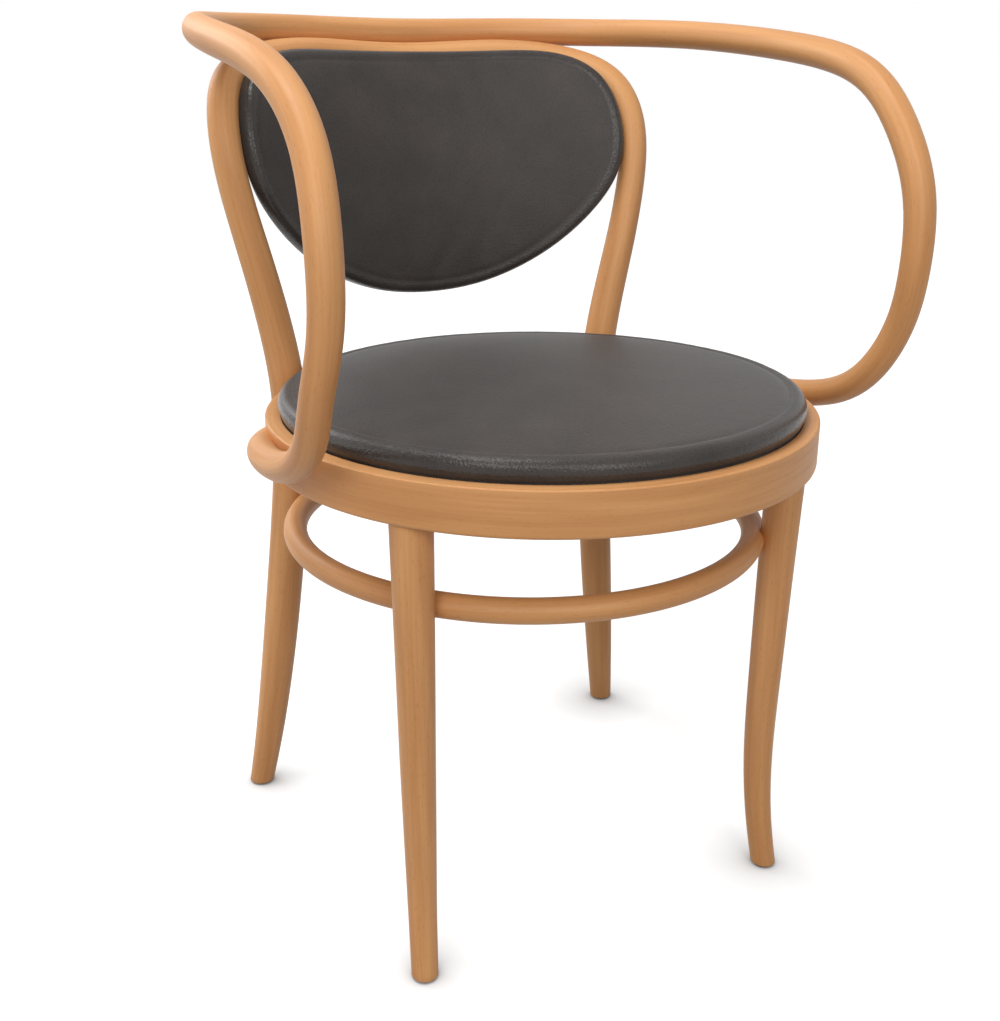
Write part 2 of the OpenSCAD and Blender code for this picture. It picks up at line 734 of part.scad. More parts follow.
module back_board() {
    color(plywood) at_seat()
        difference() {
            closed_skin(pad_pole(-pad_board_r),
                concat(flipped(back_rings(-pad_board_r)), roll_rings(pad_board_r, roll_back_angles),
                    face_rings(0, 0)),
                pad_pole(0), len(pad_ring_shares));
            both_sides() at_pad_screws() screw_hole(pad_screw_l, over);
        }
}

module back_foam() {
    color(foam) at_seat()
        closed_skin(pad_pole(layer_gap),
            concat(flipped(face_rings(layer_gap, 0)), roll_rings(pad_board_r, roll_front_angles),
                face_rings(pad_board_r, pad_crown)),
            pad_pole(pad_board_r + pad_crown), len(pad_ring_shares));
}

module back_cover() {
    color(leather) at_seat()
        difference() {
            closed_skin(pad_pole(pad_skin_r + pad_crown),
                concat(flipped(face_rings(pad_skin_r, pad_crown)),
                    flipped(roll_rings(pad_skin_r, roll_angles)),
                    hem_ring(-pad_skin_r), hem_ring(-pad_roll_r),
                    roll_rings(pad_roll_r, roll_angles),
                    face_rings(pad_roll_r, pad_crown)),
                pad_pole(pad_roll_r + pad_crown), len(pad_ring_shares) + len(roll_angles) + 2);
            both_sides() at_pad_screws() screw_hole(pad_screw_l, over);
        }
}

module back_rear_cover() {
    color(leather) at_seat()
        difference() {
            closed_skin(pad_pole(-pad_back_d),
                concat(flipped(back_rings(-pad_back_d)),
                    [pad_ring(1, pad_roll_r, -pad_back_d), pad_ring(1, pad_roll_r, -pad_rear_d)],
                    back_rings(-pad_rear_d)),
                pad_pole(-pad_rear_d), len(back_rings(0)));
            both_sides() at_pad_screws() screw_hole(pad_screw_l, over);
        }
}

module back_pad_screws() {
    color(steel) at_seat() both_sides() at_pad_screws() screw(pad_screw_l);
}

module seat_board_screws() {
    color(steel) at_seat() at_seat_screws() screw(seat_screw_l);
}

module rear_leg_bolts() {
    color(steel) at_seat() both_sides() {
        inner = washer_r - washer_t - nut_h - bolt_end;
        on_bolt_line(inner) cylinder(h = bolt_head_r - inner, d = bolt_d);
        on_bolt_line(bolt_head_r) cylinder(h = bolt_head_h / 2, d = bolt_head_d);
        on_bolt_line(bolt_head_r + bolt_head_h / 2)
            cylinder(h = bolt_head_h / 2, d1 = bolt_head_d, d2 = bolt_d);
    }
}

module rear_leg_washers() {
    color(steel) at_seat() both_sides() on_bolt_line(washer_r - washer_t)
        difference() {
            cylinder(h = washer_t, d = washer_d);
            translate([0, 0, -over]) cylinder(h = washer_t + 2 * over, d = bolt_d + 2 * fit);
        }
}

module rear_leg_nuts() {
    color(steel) at_seat() both_sides() on_bolt_line(washer_r - washer_t - nut_h)
        difference() {
            cylinder(h = nut_h, d = nut_w / cos(30), $fn = 6);
            translate([0, 0, -over]) cylinder(h = nut_h + 2 * over, d = bolt_d + 2 * fit);
        }
}

module arm_end_screws() {
    color(steel) at_seat() both_sides() at_arm_end() screw(arm_screw_l);
}

module arm_to_back_screws() {
    color(steel) at_seat() both_sides() at_rail_joint() screw(rail_screw_l);
}

module hoop_screws() {
    color(steel) at_seat() hoop_screw_at_legs() screw(hoop_screw_l);
}

module at_feet() {
    both_sides() {
        at_foot(front_route[0]) children();
        at_foot(back_route[0]) children();
    }
}

module foot_glides() {
    color(nylon) at_seat() at_feet()
        difference() {
            cylinder(h = glide_h, d = glide_d);
            translate([0, 0, -over]) cylinder(h = over + nail_sink, d = nail_head_d + 2 * fit);
            nail_hole();
        }
}

module glide_nails() {
    color(steel) at_seat() at_feet() translate([0, 0, nail_sink]) {
        cylinder(h = nail_head_h, d = nail_head_d);
        cylinder(h = nail_l - nail_sink, d = nail_d);
    }
}

seat_ring();
front_leg_left();
front_leg_right();
back_frame();
arm_bow();
stretcher_hoop();
seat_board();
seat_foam();
seat_cover();
seat_cover_staples();
back_board();
back_foam();
back_cover();
back_rear_cover();
back_pad_screws();
seat_board_screws();
rear_leg_bolts();
rear_leg_washers();
rear_leg_nuts();
arm_end_screws();
arm_to_back_screws();
hoop_screws();
foot_glides();
glide_nails();
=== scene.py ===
"""Looks of the bentwood armchair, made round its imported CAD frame.

Metres, Z up. The chair faces -Y, and left and right are the sitter's. The bent rods, the seat ring
and the pads are made here in full smoothness and stand for their CAD solids. The boards and the
fixings are the CAD's own and get their finishes here.
"""

import json
import logging
import math
from dataclasses import dataclass, field
from enum import Enum

import bmesh
import bpy
import numpy as np
from mathutils import Matrix, Vector
from mathutils.kdtree import KDTree

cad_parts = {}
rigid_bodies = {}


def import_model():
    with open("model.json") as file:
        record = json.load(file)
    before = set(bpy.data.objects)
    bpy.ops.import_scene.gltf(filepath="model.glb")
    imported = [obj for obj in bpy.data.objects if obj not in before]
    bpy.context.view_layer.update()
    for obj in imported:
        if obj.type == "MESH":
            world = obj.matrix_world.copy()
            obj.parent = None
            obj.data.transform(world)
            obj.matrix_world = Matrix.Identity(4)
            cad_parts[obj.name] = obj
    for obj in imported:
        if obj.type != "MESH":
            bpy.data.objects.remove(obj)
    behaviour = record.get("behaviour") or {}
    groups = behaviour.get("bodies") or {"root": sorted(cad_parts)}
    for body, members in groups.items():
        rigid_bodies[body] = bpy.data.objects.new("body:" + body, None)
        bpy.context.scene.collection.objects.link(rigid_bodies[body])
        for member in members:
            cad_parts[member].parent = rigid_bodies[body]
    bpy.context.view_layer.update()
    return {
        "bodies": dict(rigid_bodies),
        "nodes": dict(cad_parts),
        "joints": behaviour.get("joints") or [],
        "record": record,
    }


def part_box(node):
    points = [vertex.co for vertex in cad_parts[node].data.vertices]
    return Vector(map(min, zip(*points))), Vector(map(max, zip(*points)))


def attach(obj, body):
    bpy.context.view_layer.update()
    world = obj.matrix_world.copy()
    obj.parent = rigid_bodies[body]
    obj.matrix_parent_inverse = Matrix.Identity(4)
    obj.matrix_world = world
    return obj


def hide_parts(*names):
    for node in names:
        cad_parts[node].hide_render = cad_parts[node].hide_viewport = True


LOG = logging.getLogger("armchair")
MM = 0.001
BODY = "root"
GRAIN = "grain"
RADIUS = "rod_radius"
STRETCH = "stretch"
WHITE = "#ffffff"
LEATHER_T = 1.2 * MM
# Edges that turn more than this are shaded sharp: on the wood, and where leather is folded.
WOOD_EDGE = math.radians(50)
FOLD_EDGE = math.radians(60)

Shares = tuple[tuple[float, ...], ...]
Stops = tuple[tuple[float, str], ...]


class Slot(Enum):
    """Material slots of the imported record."""

    BEECH = "beech"
    PLYWOOD = "plywood"
    LEATHER = "leather"
    FOAM = "foam"
    STEEL = "steel"
    NYLON = "nylon"


def linear(colour: str) -> tuple[float, float, float, float]:
    """Turns an sRGB hex colour into a linear one.

    Args:
        colour: The colour as #rrggbb.

    Returns:
        Linear red, green and blue, and an alpha of 1.
    """
    parts = [int(colour[i : i + 2], 16) / 255 for i in (1, 3, 5)]
    red, green, blue = (
        c / 12.92 if c <= 0.04045 else ((c + 0.055) / 1.055) ** 2.4 for c in parts
    )
    return red, green, blue, 1.0


@dataclass(frozen=True)
class Tree:
    """A node tree and the one way in which nodes are added to it."""

    own: bpy.types.NodeTree

    def connect(self, node: bpy.types.Node, inputs: dict) -> None:
        """Sets a node's inputs to values, or links them to other nodes.

        Args:
            node: The node.
            inputs: For each input's name or number a value, an output socket, or a node whose
                first output is meant.
        """
        for key, value in inputs.items():
            if isinstance(value, bpy.types.Node):
                value = value.outputs[0]
            if isinstance(value, bpy.types.NodeSocket):
                self.own.links.new(value, node.inputs[key])
            else:
                node.inputs[key].default_value = value

    def add(self, kind: str, inputs: dict | None = None, **settings: object) -> bpy.types.Node:
        """Adds a node with its settings and its inputs.

        Args:
            kind: Blender's name of the node's type.
            inputs: What its inputs are set or linked to, as connect takes them.
            settings: The node's own properties.

        Returns:
            The new node.
        """
        node = self.own.nodes.new(kind)
        for name, value in settings.items():
            setattr(node, name, value)
        self.connect(node, inputs or {})
        return node

    def sized_noise(
        self, where: bpy.types.NodeSocket, cell: tuple[float, float, float], detail: float
    ) -> bpy.types.Node:
        """Adds a noise pattern whose blotches have a real size along each axis.

        Args:
            where: Coordinates in metres.
            cell: Size of a blotch along x, y and z, in metres.
            detail: Octaves of finer noise.

        Returns:
            The noise, whose first output is its factor.
        """
        scaled = self.add("ShaderNodeMapping", {0: where, "Scale": tuple(1 / c for c in cell)})
        noise = {"Vector": scaled, "Scale": 1.0, "Detail": detail, "Roughness": 0.5}
        return self.add("ShaderNodeTexNoise", noise)


def set_stops(ramp: bpy.types.Node, stops: Stops) -> bpy.types.Node:
    """Sets the stops of a colour ramp.

    Args:
        ramp: The ramp's node.
        stops: Places from 0 to 1 with their hex colours.

    Returns:
        The same node.
    """
    elements = ramp.color_ramp.elements
    while len(elements) < len(stops):
        elements.new(1.0)
    for element, (place, colour) in zip(elements, stops):
        element.position = place
        element.color = linear(colour)
    return ramp


def new_material(name: str) -> tuple[bpy.types.Material, Tree, bpy.types.Node]:
    """Makes an empty node material.

    Args:
        name: The material's name.

    Returns:
        The material, its tree and its Principled shader.
    """
    made = bpy.data.materials.new(name)
    made.use_nodes = True
    made.node_tree.nodes.clear()
    tree = Tree(made.node_tree)
    shader = tree.add("ShaderNodeBsdfPrincipled")
    tree.add("ShaderNodeOutputMaterial", {"Surface": shader})
    return made, tree, shader


@dataclass(frozen=True)
class Beech:
    """Steam-bent beech, sanded and given a satin lacquer.

    The grain runs along each bent piece, because the wood is bent after it is sawn. Beech shows a
    warm even tan, faint growth lines and short dark flecks under the lacquer's soft gloss. Each
    pattern has its size across and along the grain, its finer octaves and its colours.
    """

    tone: tuple[float, float, float] = (14 * MM, 220 * MM, 2.0)
    tone_stops: Stops = ((0.3, "#ca8e58"), (0.5, "#d59a63"), (0.7, "#dfa56c"))
    line: tuple[float, float, float] = (2.2 * MM, 130 * MM, 3.0)
    line_stops: Stops = ((0.38, "#e6d2bc"), (0.56, WHITE))
    # Real flecks are 0.3 mm wide, too fine for a picture, so they are drawn three times as wide.
    fleck: tuple[float, float, float] = (0.9 * MM, 7 * MM, 1.0)
    fleck_stops: Stops = ((0.26, "#cfa986"), (0.36, WHITE))
    line_share: float = 0.2
    fleck_share: float = 0.3
    roughness_low: float = 0.44
    roughness_high: float = 0.54
    relief: float = 0.05 * MM
    relief_strength: float = 0.35
    ior: float = 1.5
    gloss: float = 0.35

    def material(self) -> bpy.types.Material:
        """Builds the material, which reads the piece's own grain attribute."""
        made, tree, shader = new_material("lacquered_beech")
        grain = tree.add(
            "ShaderNodeAttribute", attribute_name=GRAIN, attribute_type="GEOMETRY"
        ).outputs["Vector"]
        tone, lines, flecks = (
            tree.sized_noise(grain, (across, across, along), detail)
            for across, along, detail in (self.tone, self.line, self.fleck)
        )
        colour = set_stops(tree.add("ShaderNodeValToRGB", {"Fac": tone}), self.tone_stops)
        for pattern, share, stops in (
            (lines, self.line_share, self.line_stops),
            (flecks, self.fleck_share, self.fleck_stops),
        ):
            marks = set_stops(tree.add("ShaderNodeValToRGB", {"Fac": pattern}), stops)
            colour = tree.add(
                "ShaderNodeMix",
                {0: share, 6: colour, 7: marks},
                data_type="RGBA",
                blend_type="MULTIPLY",
            ).outputs[2]
        rough = tree.add(
            "ShaderNodeMapRange",
            {"Value": lines, "To Min": self.roughness_high, "To Max": self.roughness_low},
        )
        bump = tree.add(
            "ShaderNodeBump",
            {"Height": lines, "Strength": self.relief_strength, "Distance": self.relief},
        )
        looks = {
            "Base Color": colour,
            "Roughness": rough,
            "Normal": bump,
            "IOR": self.ior,
            "Specular IOR Level": self.gloss,
        }
        tree.connect(shader, looks)
        return made


@dataclass(frozen=True)
class Leather:
    """Charcoal cow leather, drum-dyed and embossed with a fine pebble, with a semi-matt top coat.

    It shows an almost even near-black, a fine grain, and small creases that catch the light.
    """

    dye_stops: Stops = ((0.3, "#393533"), (0.7, "#443f3c"))
    groove_stops: Stops = ((0.45, WHITE), (0.75, "#c9c4c0"))
    groove_share: float = 0.4
    # A real pebble is 0.6 to 1 mm across, too fine for a picture, so it is drawn a little coarser.
    pebble: float = 1.5 * MM
    pebble_smoothness: float = 0.6
    blotch: float = 45 * MM
    blotch_detail: float = 2.0
    crease: float = 9 * MM
    crease_detail: float = 4.0
    roughness_low: float = 0.50
    roughness_high: float = 0.58
    # Where the leather is stretched round an edge its pebble is pulled flat and shines.
    polish: float = 0.3
    pebble_relief: float = 0.25 * MM
    crease_relief: float = 0.3 * MM
    flat_crease_strength: float = 0.4
    ior: float = 1.5
    gloss: float = 0.25
    sheen: float = 0.06
    sheen_roughness: float = 0.45

    def material(self) -> bpy.types.Material:
        """Builds the material on Object coordinates and the piece's own stretch attribute."""
        made, tree, shader = new_material("charcoal_leather")
        where = tree.add("ShaderNodeTexCoord").outputs["Object"]
        stretch = tree.add(
            "ShaderNodeAttribute", attribute_name=STRETCH, attribute_type="GEOMETRY"
        ).outputs["Fac"]
        pebbles = tree.add(
            "ShaderNodeTexVoronoi",
            {"Vector": where, "Scale": 1 / self.pebble, "Smoothness": self.pebble_smoothness},
            feature="SMOOTH_F1",
        )
        creases = tree.sized_noise(where, (self.crease,) * 3, self.crease_detail)
        blotches = tree.sized_noise(where, (self.blotch,) * 3, self.blotch_detail)
        dye, grooves = (
            set_stops(tree.add("ShaderNodeValToRGB", {"Fac": pattern}), stops)
            for pattern, stops in ((blotches, self.dye_stops), (pebbles, self.groove_stops))
        )
        colour = tree.add(
            "ShaderNodeMix",
            {0: self.groove_share, 6: dye, 7: grooves},
            data_type="RGBA",
            blend_type="MULTIPLY",
        )
        fine = tree.add(
            "ShaderNodeBump",
            {"Height": pebbles, "Strength": 1.0, "Distance": self.pebble_relief},
            invert=True,
        )
        strength = tree.add(
            "ShaderNodeMapRange",
            {"Value": stretch, "To Min": self.flat_crease_strength, "To Max": 1.0},
        )
        coarse = tree.add(
            "ShaderNodeBump",
            {
                "Height": creases,
                "Strength": strength,
                "Distance": self.crease_relief,
                "Normal": fine,
            },
        )
        matt = tree.add(
            "ShaderNodeMapRange",
            {"Value": blotches, "To Min": self.roughness_low, "To Max": self.roughness_high},
        )
        rough = tree.add(
            "ShaderNodeMath", {0: stretch, 1: -self.polish, 2: matt}, operation="MULTIPLY_ADD"
        )
        looks = {
            "Base Color": colour.outputs[2],
            "Roughness": rough,
            "Normal": coarse,
            "IOR": self.ior,
            "Specular IOR Level": self.gloss,
            "Sheen Weight": self.sheen,
            "Sheen Roughness": self.sheen_roughness,
        }
        tree.connect(shader, looks)
        return made


@dataclass(frozen=True)
class Grained:
    """What the plainer finishes share: one pattern of real size sets their colour and roughness."""

    name: str
    stops: Stops
    cell: tuple[float, float, float]
    detail: float
    roughness_low: float
    roughness_high: float
    relief: float = 0.0
    relief_strength: float = 0.0
    relief_cell: float = 0.0
    metallic: float = 0.0

    def material(self) -> bpy.types.Material:
        """Builds the material on Object coordinates."""
        made, tree, shader = new_material(self.name)
        where = tree.add("ShaderNodeTexCoord").outputs["Object"]
        pattern = tree.sized_noise(where, self.cell, self.detail)
        colour = set_stops(tree.add("ShaderNodeValToRGB", {"Fac": pattern}), self.stops)
        rough = tree.add(
            "ShaderNodeMapRange",
            {"Value": pattern, "To Min": self.roughness_low, "To Max": self.roughness_high},
        )
        looks = {"Base Color": colour, "Roughness": rough, "Metallic": self.metallic}
        if self.relief:
            height = pattern
            if self.relief_cell:
                height = tree.sized_noise(where, (self.relief_cell,) * 3, 1.0)
            looks["Normal"] = tree.add(
                "ShaderNodeBump",
                {"Height": height, "Strength": self.relief_strength, "Distance": self.relief},
            )
        tree.connect(shader, looks)
        return made


# Raw birch plywood, rotary cut and sanded: pale, with long soft cathedral figure and no gloss.
PLYWOOD = Grained(
    name="birch_plywood",
    stops=((0.35, "#cfae7d"), (0.65, "#e2c89c")),
    cell=(9 * MM, 160 * MM, 9 * MM),
    detail=4.0,
    roughness_low=0.62,
    roughness_high=0.75,
    relief=0.06 * MM,
    relief_strength=0.5,
)
# Cold-headed steel with bright zinc plating, which leaves a faint mottle in the gloss.
ZINC_STEEL = Grained(
    name="zinc_plated_steel",
    stops=((0.35, "#a4a8ac"), (0.65, "#c3c7cb")),
    cell=(1.6 * MM,) * 3,
    detail=3.0,
    roughness_low=0.26,
    roughness_high=0.42,
    metallic=1.0,
)
# Moulded dark nylon, scuffed dull by the floor, with the fine spark texture of its mould.
NYLON = Grained(
    name="moulded_nylon",
    stops=((0.4, "#37332f"), (0.7, "#4a4540")),
    cell=(5 * MM,) * 3,
    detail=3.0,
    roughness_low=0.45,
    roughness_high=0.65,
    relief=0.05 * MM,
    relief_strength=0.5,
    relief_cell=0.7 * MM,
)


@dataclass(frozen=True)
class Foam:
    """Cut polyurethane foam: open cells, pale yellow, fully matt."""

    stops: Stops = ((0.2, "#cdbd8e"), (0.6, "#ecdfb8"))
    cell: float = 1.2 * MM
    relief: float = 0.3 * MM
    relief_strength: float = 0.8
    roughness: float = 0.9

    def material(self) -> bpy.types.Material:
        """Builds the material on Object coordinates."""
        made, tree, shader = new_material("open_cell_foam")
        where = tree.add("ShaderNodeTexCoord").outputs["Object"]
        cells = tree.add("ShaderNodeTexVoronoi", {"Vector": where, "Scale": 1 / self.cell})
        bump = tree.add(
            "ShaderNodeBump",
            {"Height": cells, "Strength": self.relief_strength, "Distance": self.relief},
        )
        colour = tree.add("ShaderNodeValToRGB", {"Fac": cells})
        looks = {
            "Base Color": set_stops(colour, self.stops),
            "Normal": bump,
            "Roughness": self.roughness,
        }
        tree.connect(shader, looks)
        return made


@dataclass
class Finishes:
    """One material for each slot of the record."""

    made: dict[Slot, bpy.types.Material] = field(default_factory=dict)

    def build(self) -> None:
        """Makes every finish once."""
        kinds = {
            Slot.BEECH: Beech(),
            Slot.LEATHER: Leather(),
            Slot.PLYWOOD: PLYWOOD,
            Slot.FOAM: Foam(),
            Slot.STEEL: ZINC_STEEL,
            Slot.NYLON: NYLON,
        }
        self.made = {slot: kind.material() for slot, kind in kinds.items()}

    def dress_node(self, node: bpy.types.Object, slot: Slot) -> None:
        """Gives a CAD node's own material slots the finish."""
        for holder in node.material_slots:
            holder.material = self.made[slot]

    def place(self, piece: bpy.types.Object, slot: Slot, *nodes: str) -> None:
        """Gives a piece its finish and sets it on the body in place of CAD nodes.

        Args:
            piece: The piece.
            slot: The record's slot.
            nodes: Names of the CAD nodes that it stands for.
        """
        piece.data.materials.clear()
        piece.data.materials.append(self.made[slot])
        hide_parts(*nodes)
        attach(piece, BODY)
        LOG.info("%s: %d faces", piece.name, len(piece.data.polygons))


def bend(points: np.ndarray, steps: int) -> np.ndarray:
    """Follows a smooth curve, a uniform cubic B-spline, along its control points.

    Args:
        points: Control points, with one extra row before and one after.
        steps: Points for each span.

    Returns:
        Points along the curve, both ends included.
    """
    u = np.linspace(0, 1, steps, endpoint=False)[:, None]
    weights = (
        (1 - u) ** 3 / 6,
        (3 * u**3 - 6 * u**2 + 4) / 6,
        (3 * u + 3 * u**2 - 3 * u**3 + 1) / 6,
        u**3 / 6,
    )
    spans = [sum(w * points[i + k] for k, w in enumerate(weights)) for i in range(len(points) - 3)]
    end = (points[-3] + 4 * points[-2] + points[-1]) / 6
    return np.vstack([*spans, end])


def mirrored(points: np.ndarray) -> np.ndarray:
    """Returns the points with X turned round."""
    sign = np.ones(points.shape[-1])
    sign[0] = -1
    return points * sign


def unit(rows: np.ndarray) -> np.ndarray:
    """Scales directions to a length of one."""
    return rows / np.linalg.norm(rows, axis=-1, keepdims=True)


def half_route(points: np.ndarray, steps: int) -> np.ndarray:
    """Follows half of a mirrored line, whose last control point lies on the mirror plane."""
    return bend(np.vstack([2 * points[0] - points[1], points, mirrored(points[-2])]), steps)


def open_route(points: np.ndarray, steps: int) -> np.ndarray:
    """Follows a line from end to end of its control points."""
    before, after = 2 * points[0] - points[1], 2 * points[-1] - points[-2]
    return bend(np.vstack([before, points, after]), steps)


def both_halves(half: np.ndarray) -> np.ndarray:
    """Joins half a line and its mirror image."""
    return np.vstack([half, mirrored(half)[::-1][1:]])


def mesh_rows(mesh: bpy.types.Mesh, what: str) -> np.ndarray:
    """Reads three numbers of each vertex.

    Args:
        mesh: The mesh.
        what: "co" for places or "normal" for normals.

    Returns:
        One row for each vertex.
    """
    rows = np.empty(len(mesh.vertices) * 3, np.float32)
    mesh.vertices.foreach_get(what, rows)
    return rows.reshape(-1, 3).astype(float)


def note_stretch(mesh: bpy.types.Mesh, values: np.ndarray) -> None:
    """Keeps how far the leather is stretched, from 0 to 1, at each vertex."""
    mesh.attributes.new(STRETCH, "FLOAT", "POINT").data.foreach_set("value", values)


def tree_of(places: np.ndarray) -> KDTree:
    """Makes a search tree of places."""
    tree = KDTree(len(places))
    for i, place in enumerate(places):
        tree.insert(place, i)
    tree.balance()
    return tree


def new_piece(name: str, mesh: bpy.types.Mesh) -> bpy.types.Object:
    """Puts a mesh into the scene under a name."""
    piece = bpy.data.objects.new(name, mesh)
    bpy.context.scene.collection.objects.link(piece)
    return piece


def mesh_of(name: str, verts: np.ndarray, faces: list[tuple[int, ...]]) -> bpy.types.Mesh:
    """Makes a smooth-shaded mesh.

    Args:
        name: The mesh's name.
        verts: Rows of x, y, z.
        faces: Loops of vertex numbers.

    Returns:
        The mesh.
    """
    mesh = bpy.data.meshes.new(name)
    mesh.from_pydata([tuple(v) for v in verts], [], faces)
    mesh.shade_smooth()
    return mesh


def face_outwards(mesh: bpy.types.Mesh) -> None:
    """Turns the faces of a closed mesh outwards."""
    work = bmesh.new()
    work.from_mesh(mesh)
    bmesh.ops.recalc_face_normals(work, faces=work.faces)
    work.to_mesh(mesh)
    work.free()


def plain_mesh(piece: bpy.types.Object) -> None:
    """Turns a piece's modifiers into its own plain mesh and removes them."""
    depsgraph = bpy.context.evaluated_depsgraph_get()
    result = bpy.data.meshes.new_from_object(piece.evaluated_get(depsgraph))
    piece.modifiers.clear()
    old, piece.data = piece.data, result
    bpy.data.meshes.remove(old)
    result.name = piece.name


@dataclass
class RodSweep:
    """Geometry Nodes tree that sweeps a round section along a path and notes the grain's way."""

    group: bpy.types.NodeTree | None = None
    sockets: dict[str, str] = field(default_factory=dict)

    def build(self) -> None:
        """Makes the tree, with the section's number of sides and the material as named inputs."""
        group = bpy.data.node_groups.new("bent_rod", "GeometryNodeTree")
        tree, face = Tree(group), group.interface
        face.new_socket("Path", in_out="INPUT", socket_type="NodeSocketGeometry")
        for name, kind in (("Sides", "NodeSocketInt"), ("Wood", "NodeSocketMaterial")):
            self.sockets[name] = face.new_socket(name, in_out="INPUT", socket_type=kind).identifier
        face.new_socket("Rod", in_out="OUTPUT", socket_type="NodeSocketGeometry")
        given = tree.add("NodeGroupInput")
        path = tree.add("GeometryNodeMeshToCurve", {"Mesh": given.outputs["Path"]})
        length = tree.add("GeometryNodeSplineParameter").outputs["Length"]
        noted = tree.add("GeometryNodeCaptureAttribute", {"Geometry": path}, domain="POINT")
        noted.capture_items.new("FLOAT", "Along")
        tree.connect(noted, {"Along": length})
        ring = tree.add(
            "GeometryNodeCurvePrimitiveCircle",
            {"Resolution": given.outputs["Sides"], "Radius": 1.0},
        )
        section = tree.add("GeometryNodeCaptureAttribute", {"Geometry": ring}, domain="POINT")
        section.capture_items.new("VECTOR", "Across")
        tree.connect(section, {"Across": tree.add("GeometryNodeInputPosition")})
        radius = tree.add(
            "GeometryNodeInputNamedAttribute", {"Name": RADIUS}, data_type="FLOAT"
        ).outputs["Attribute"]
        swept = tree.add(
            "GeometryNodeCurveToMesh",
            {
                "Curve": noted.outputs["Geometry"],
                "Profile Curve": section.outputs["Geometry"],
                "Scale": radius,
                "Fill Caps": True,
            },
        )
        across = tree.add(
            "ShaderNodeVectorMath",
            {0: section.outputs["Across"], "Scale": radius},
            operation="SCALE",
        )
        split = tree.add("ShaderNodeSeparateXYZ", {0: across})
        grain = tree.add(
            "ShaderNodeCombineXYZ",
            {"X": split.outputs["X"], "Y": split.outputs["Y"], "Z": noted.outputs["Along"]},
        )
        stored = tree.add(
            "GeometryNodeStoreNamedAttribute",
            {"Geometry": swept, "Name": GRAIN, "Value": grain},
            data_type="FLOAT_VECTOR",
            domain="POINT",
        )
        real = tree.add("GeometryNodeRealizeInstances", {0: stored})
        dressed = tree.add(
            "GeometryNodeSetMaterial", {"Geometry": real, "Material": given.outputs["Wood"]}
        )
        tree.add("NodeGroupOutput", {0: dressed})
        self.group = group

    def rod(
        self,
        name: str,
        route: np.ndarray,
        sides: int,
        wood: bpy.types.Material,
        closed: bool = False,
    ) -> bpy.types.Object:
        """Sweeps a rod along a route.

        Args:
            name: The piece's name.
            route: Rows of x, y, z and radius.
            sides: Number of sides round the rod.
            wood: The rod's material.
            closed: Whether the route closes on itself.

        Returns:
            The rod as a plain mesh.
        """
        mesh = bpy.data.meshes.new(name)
        count = len(route)
        links = [(i, (i + 1) % count) for i in range(count if closed else count - 1)]
        mesh.from_pydata([tuple(p[:3]) for p in route], links, [])
        mesh.attributes.new(RADIUS, "FLOAT", "POINT").data.foreach_set("value", route[:, 3])
        piece = new_piece(name, mesh)
        modifier = piece.modifiers.new("sweep", "NODES")
        modifier.node_group = self.group
        modifier[self.sockets["Sides"]] = sides
        modifier[self.sockets["Wood"]] = wood
        piece.update_tag()
        plain_mesh(piece)
        face_outwards(piece.data)
        piece.data.shade_smooth()
        piece.data.set_sharp_from_angle(angle=WOOD_EDGE)
        return piece


@dataclass(frozen=True)
class Seat:
    """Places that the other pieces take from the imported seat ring."""

    ring_r: float
    ring_z: float
    top_z: float
    y: float

    @classmethod
    def read(cls) -> "Seat":
        """Reads the seat ring's box."""
        low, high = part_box("seat_ring")
        return cls(
            ring_r=(high[0] - low[0]) / 2, ring_z=low[2], top_z=high[2], y=(low[1] + high[1]) / 2
        )


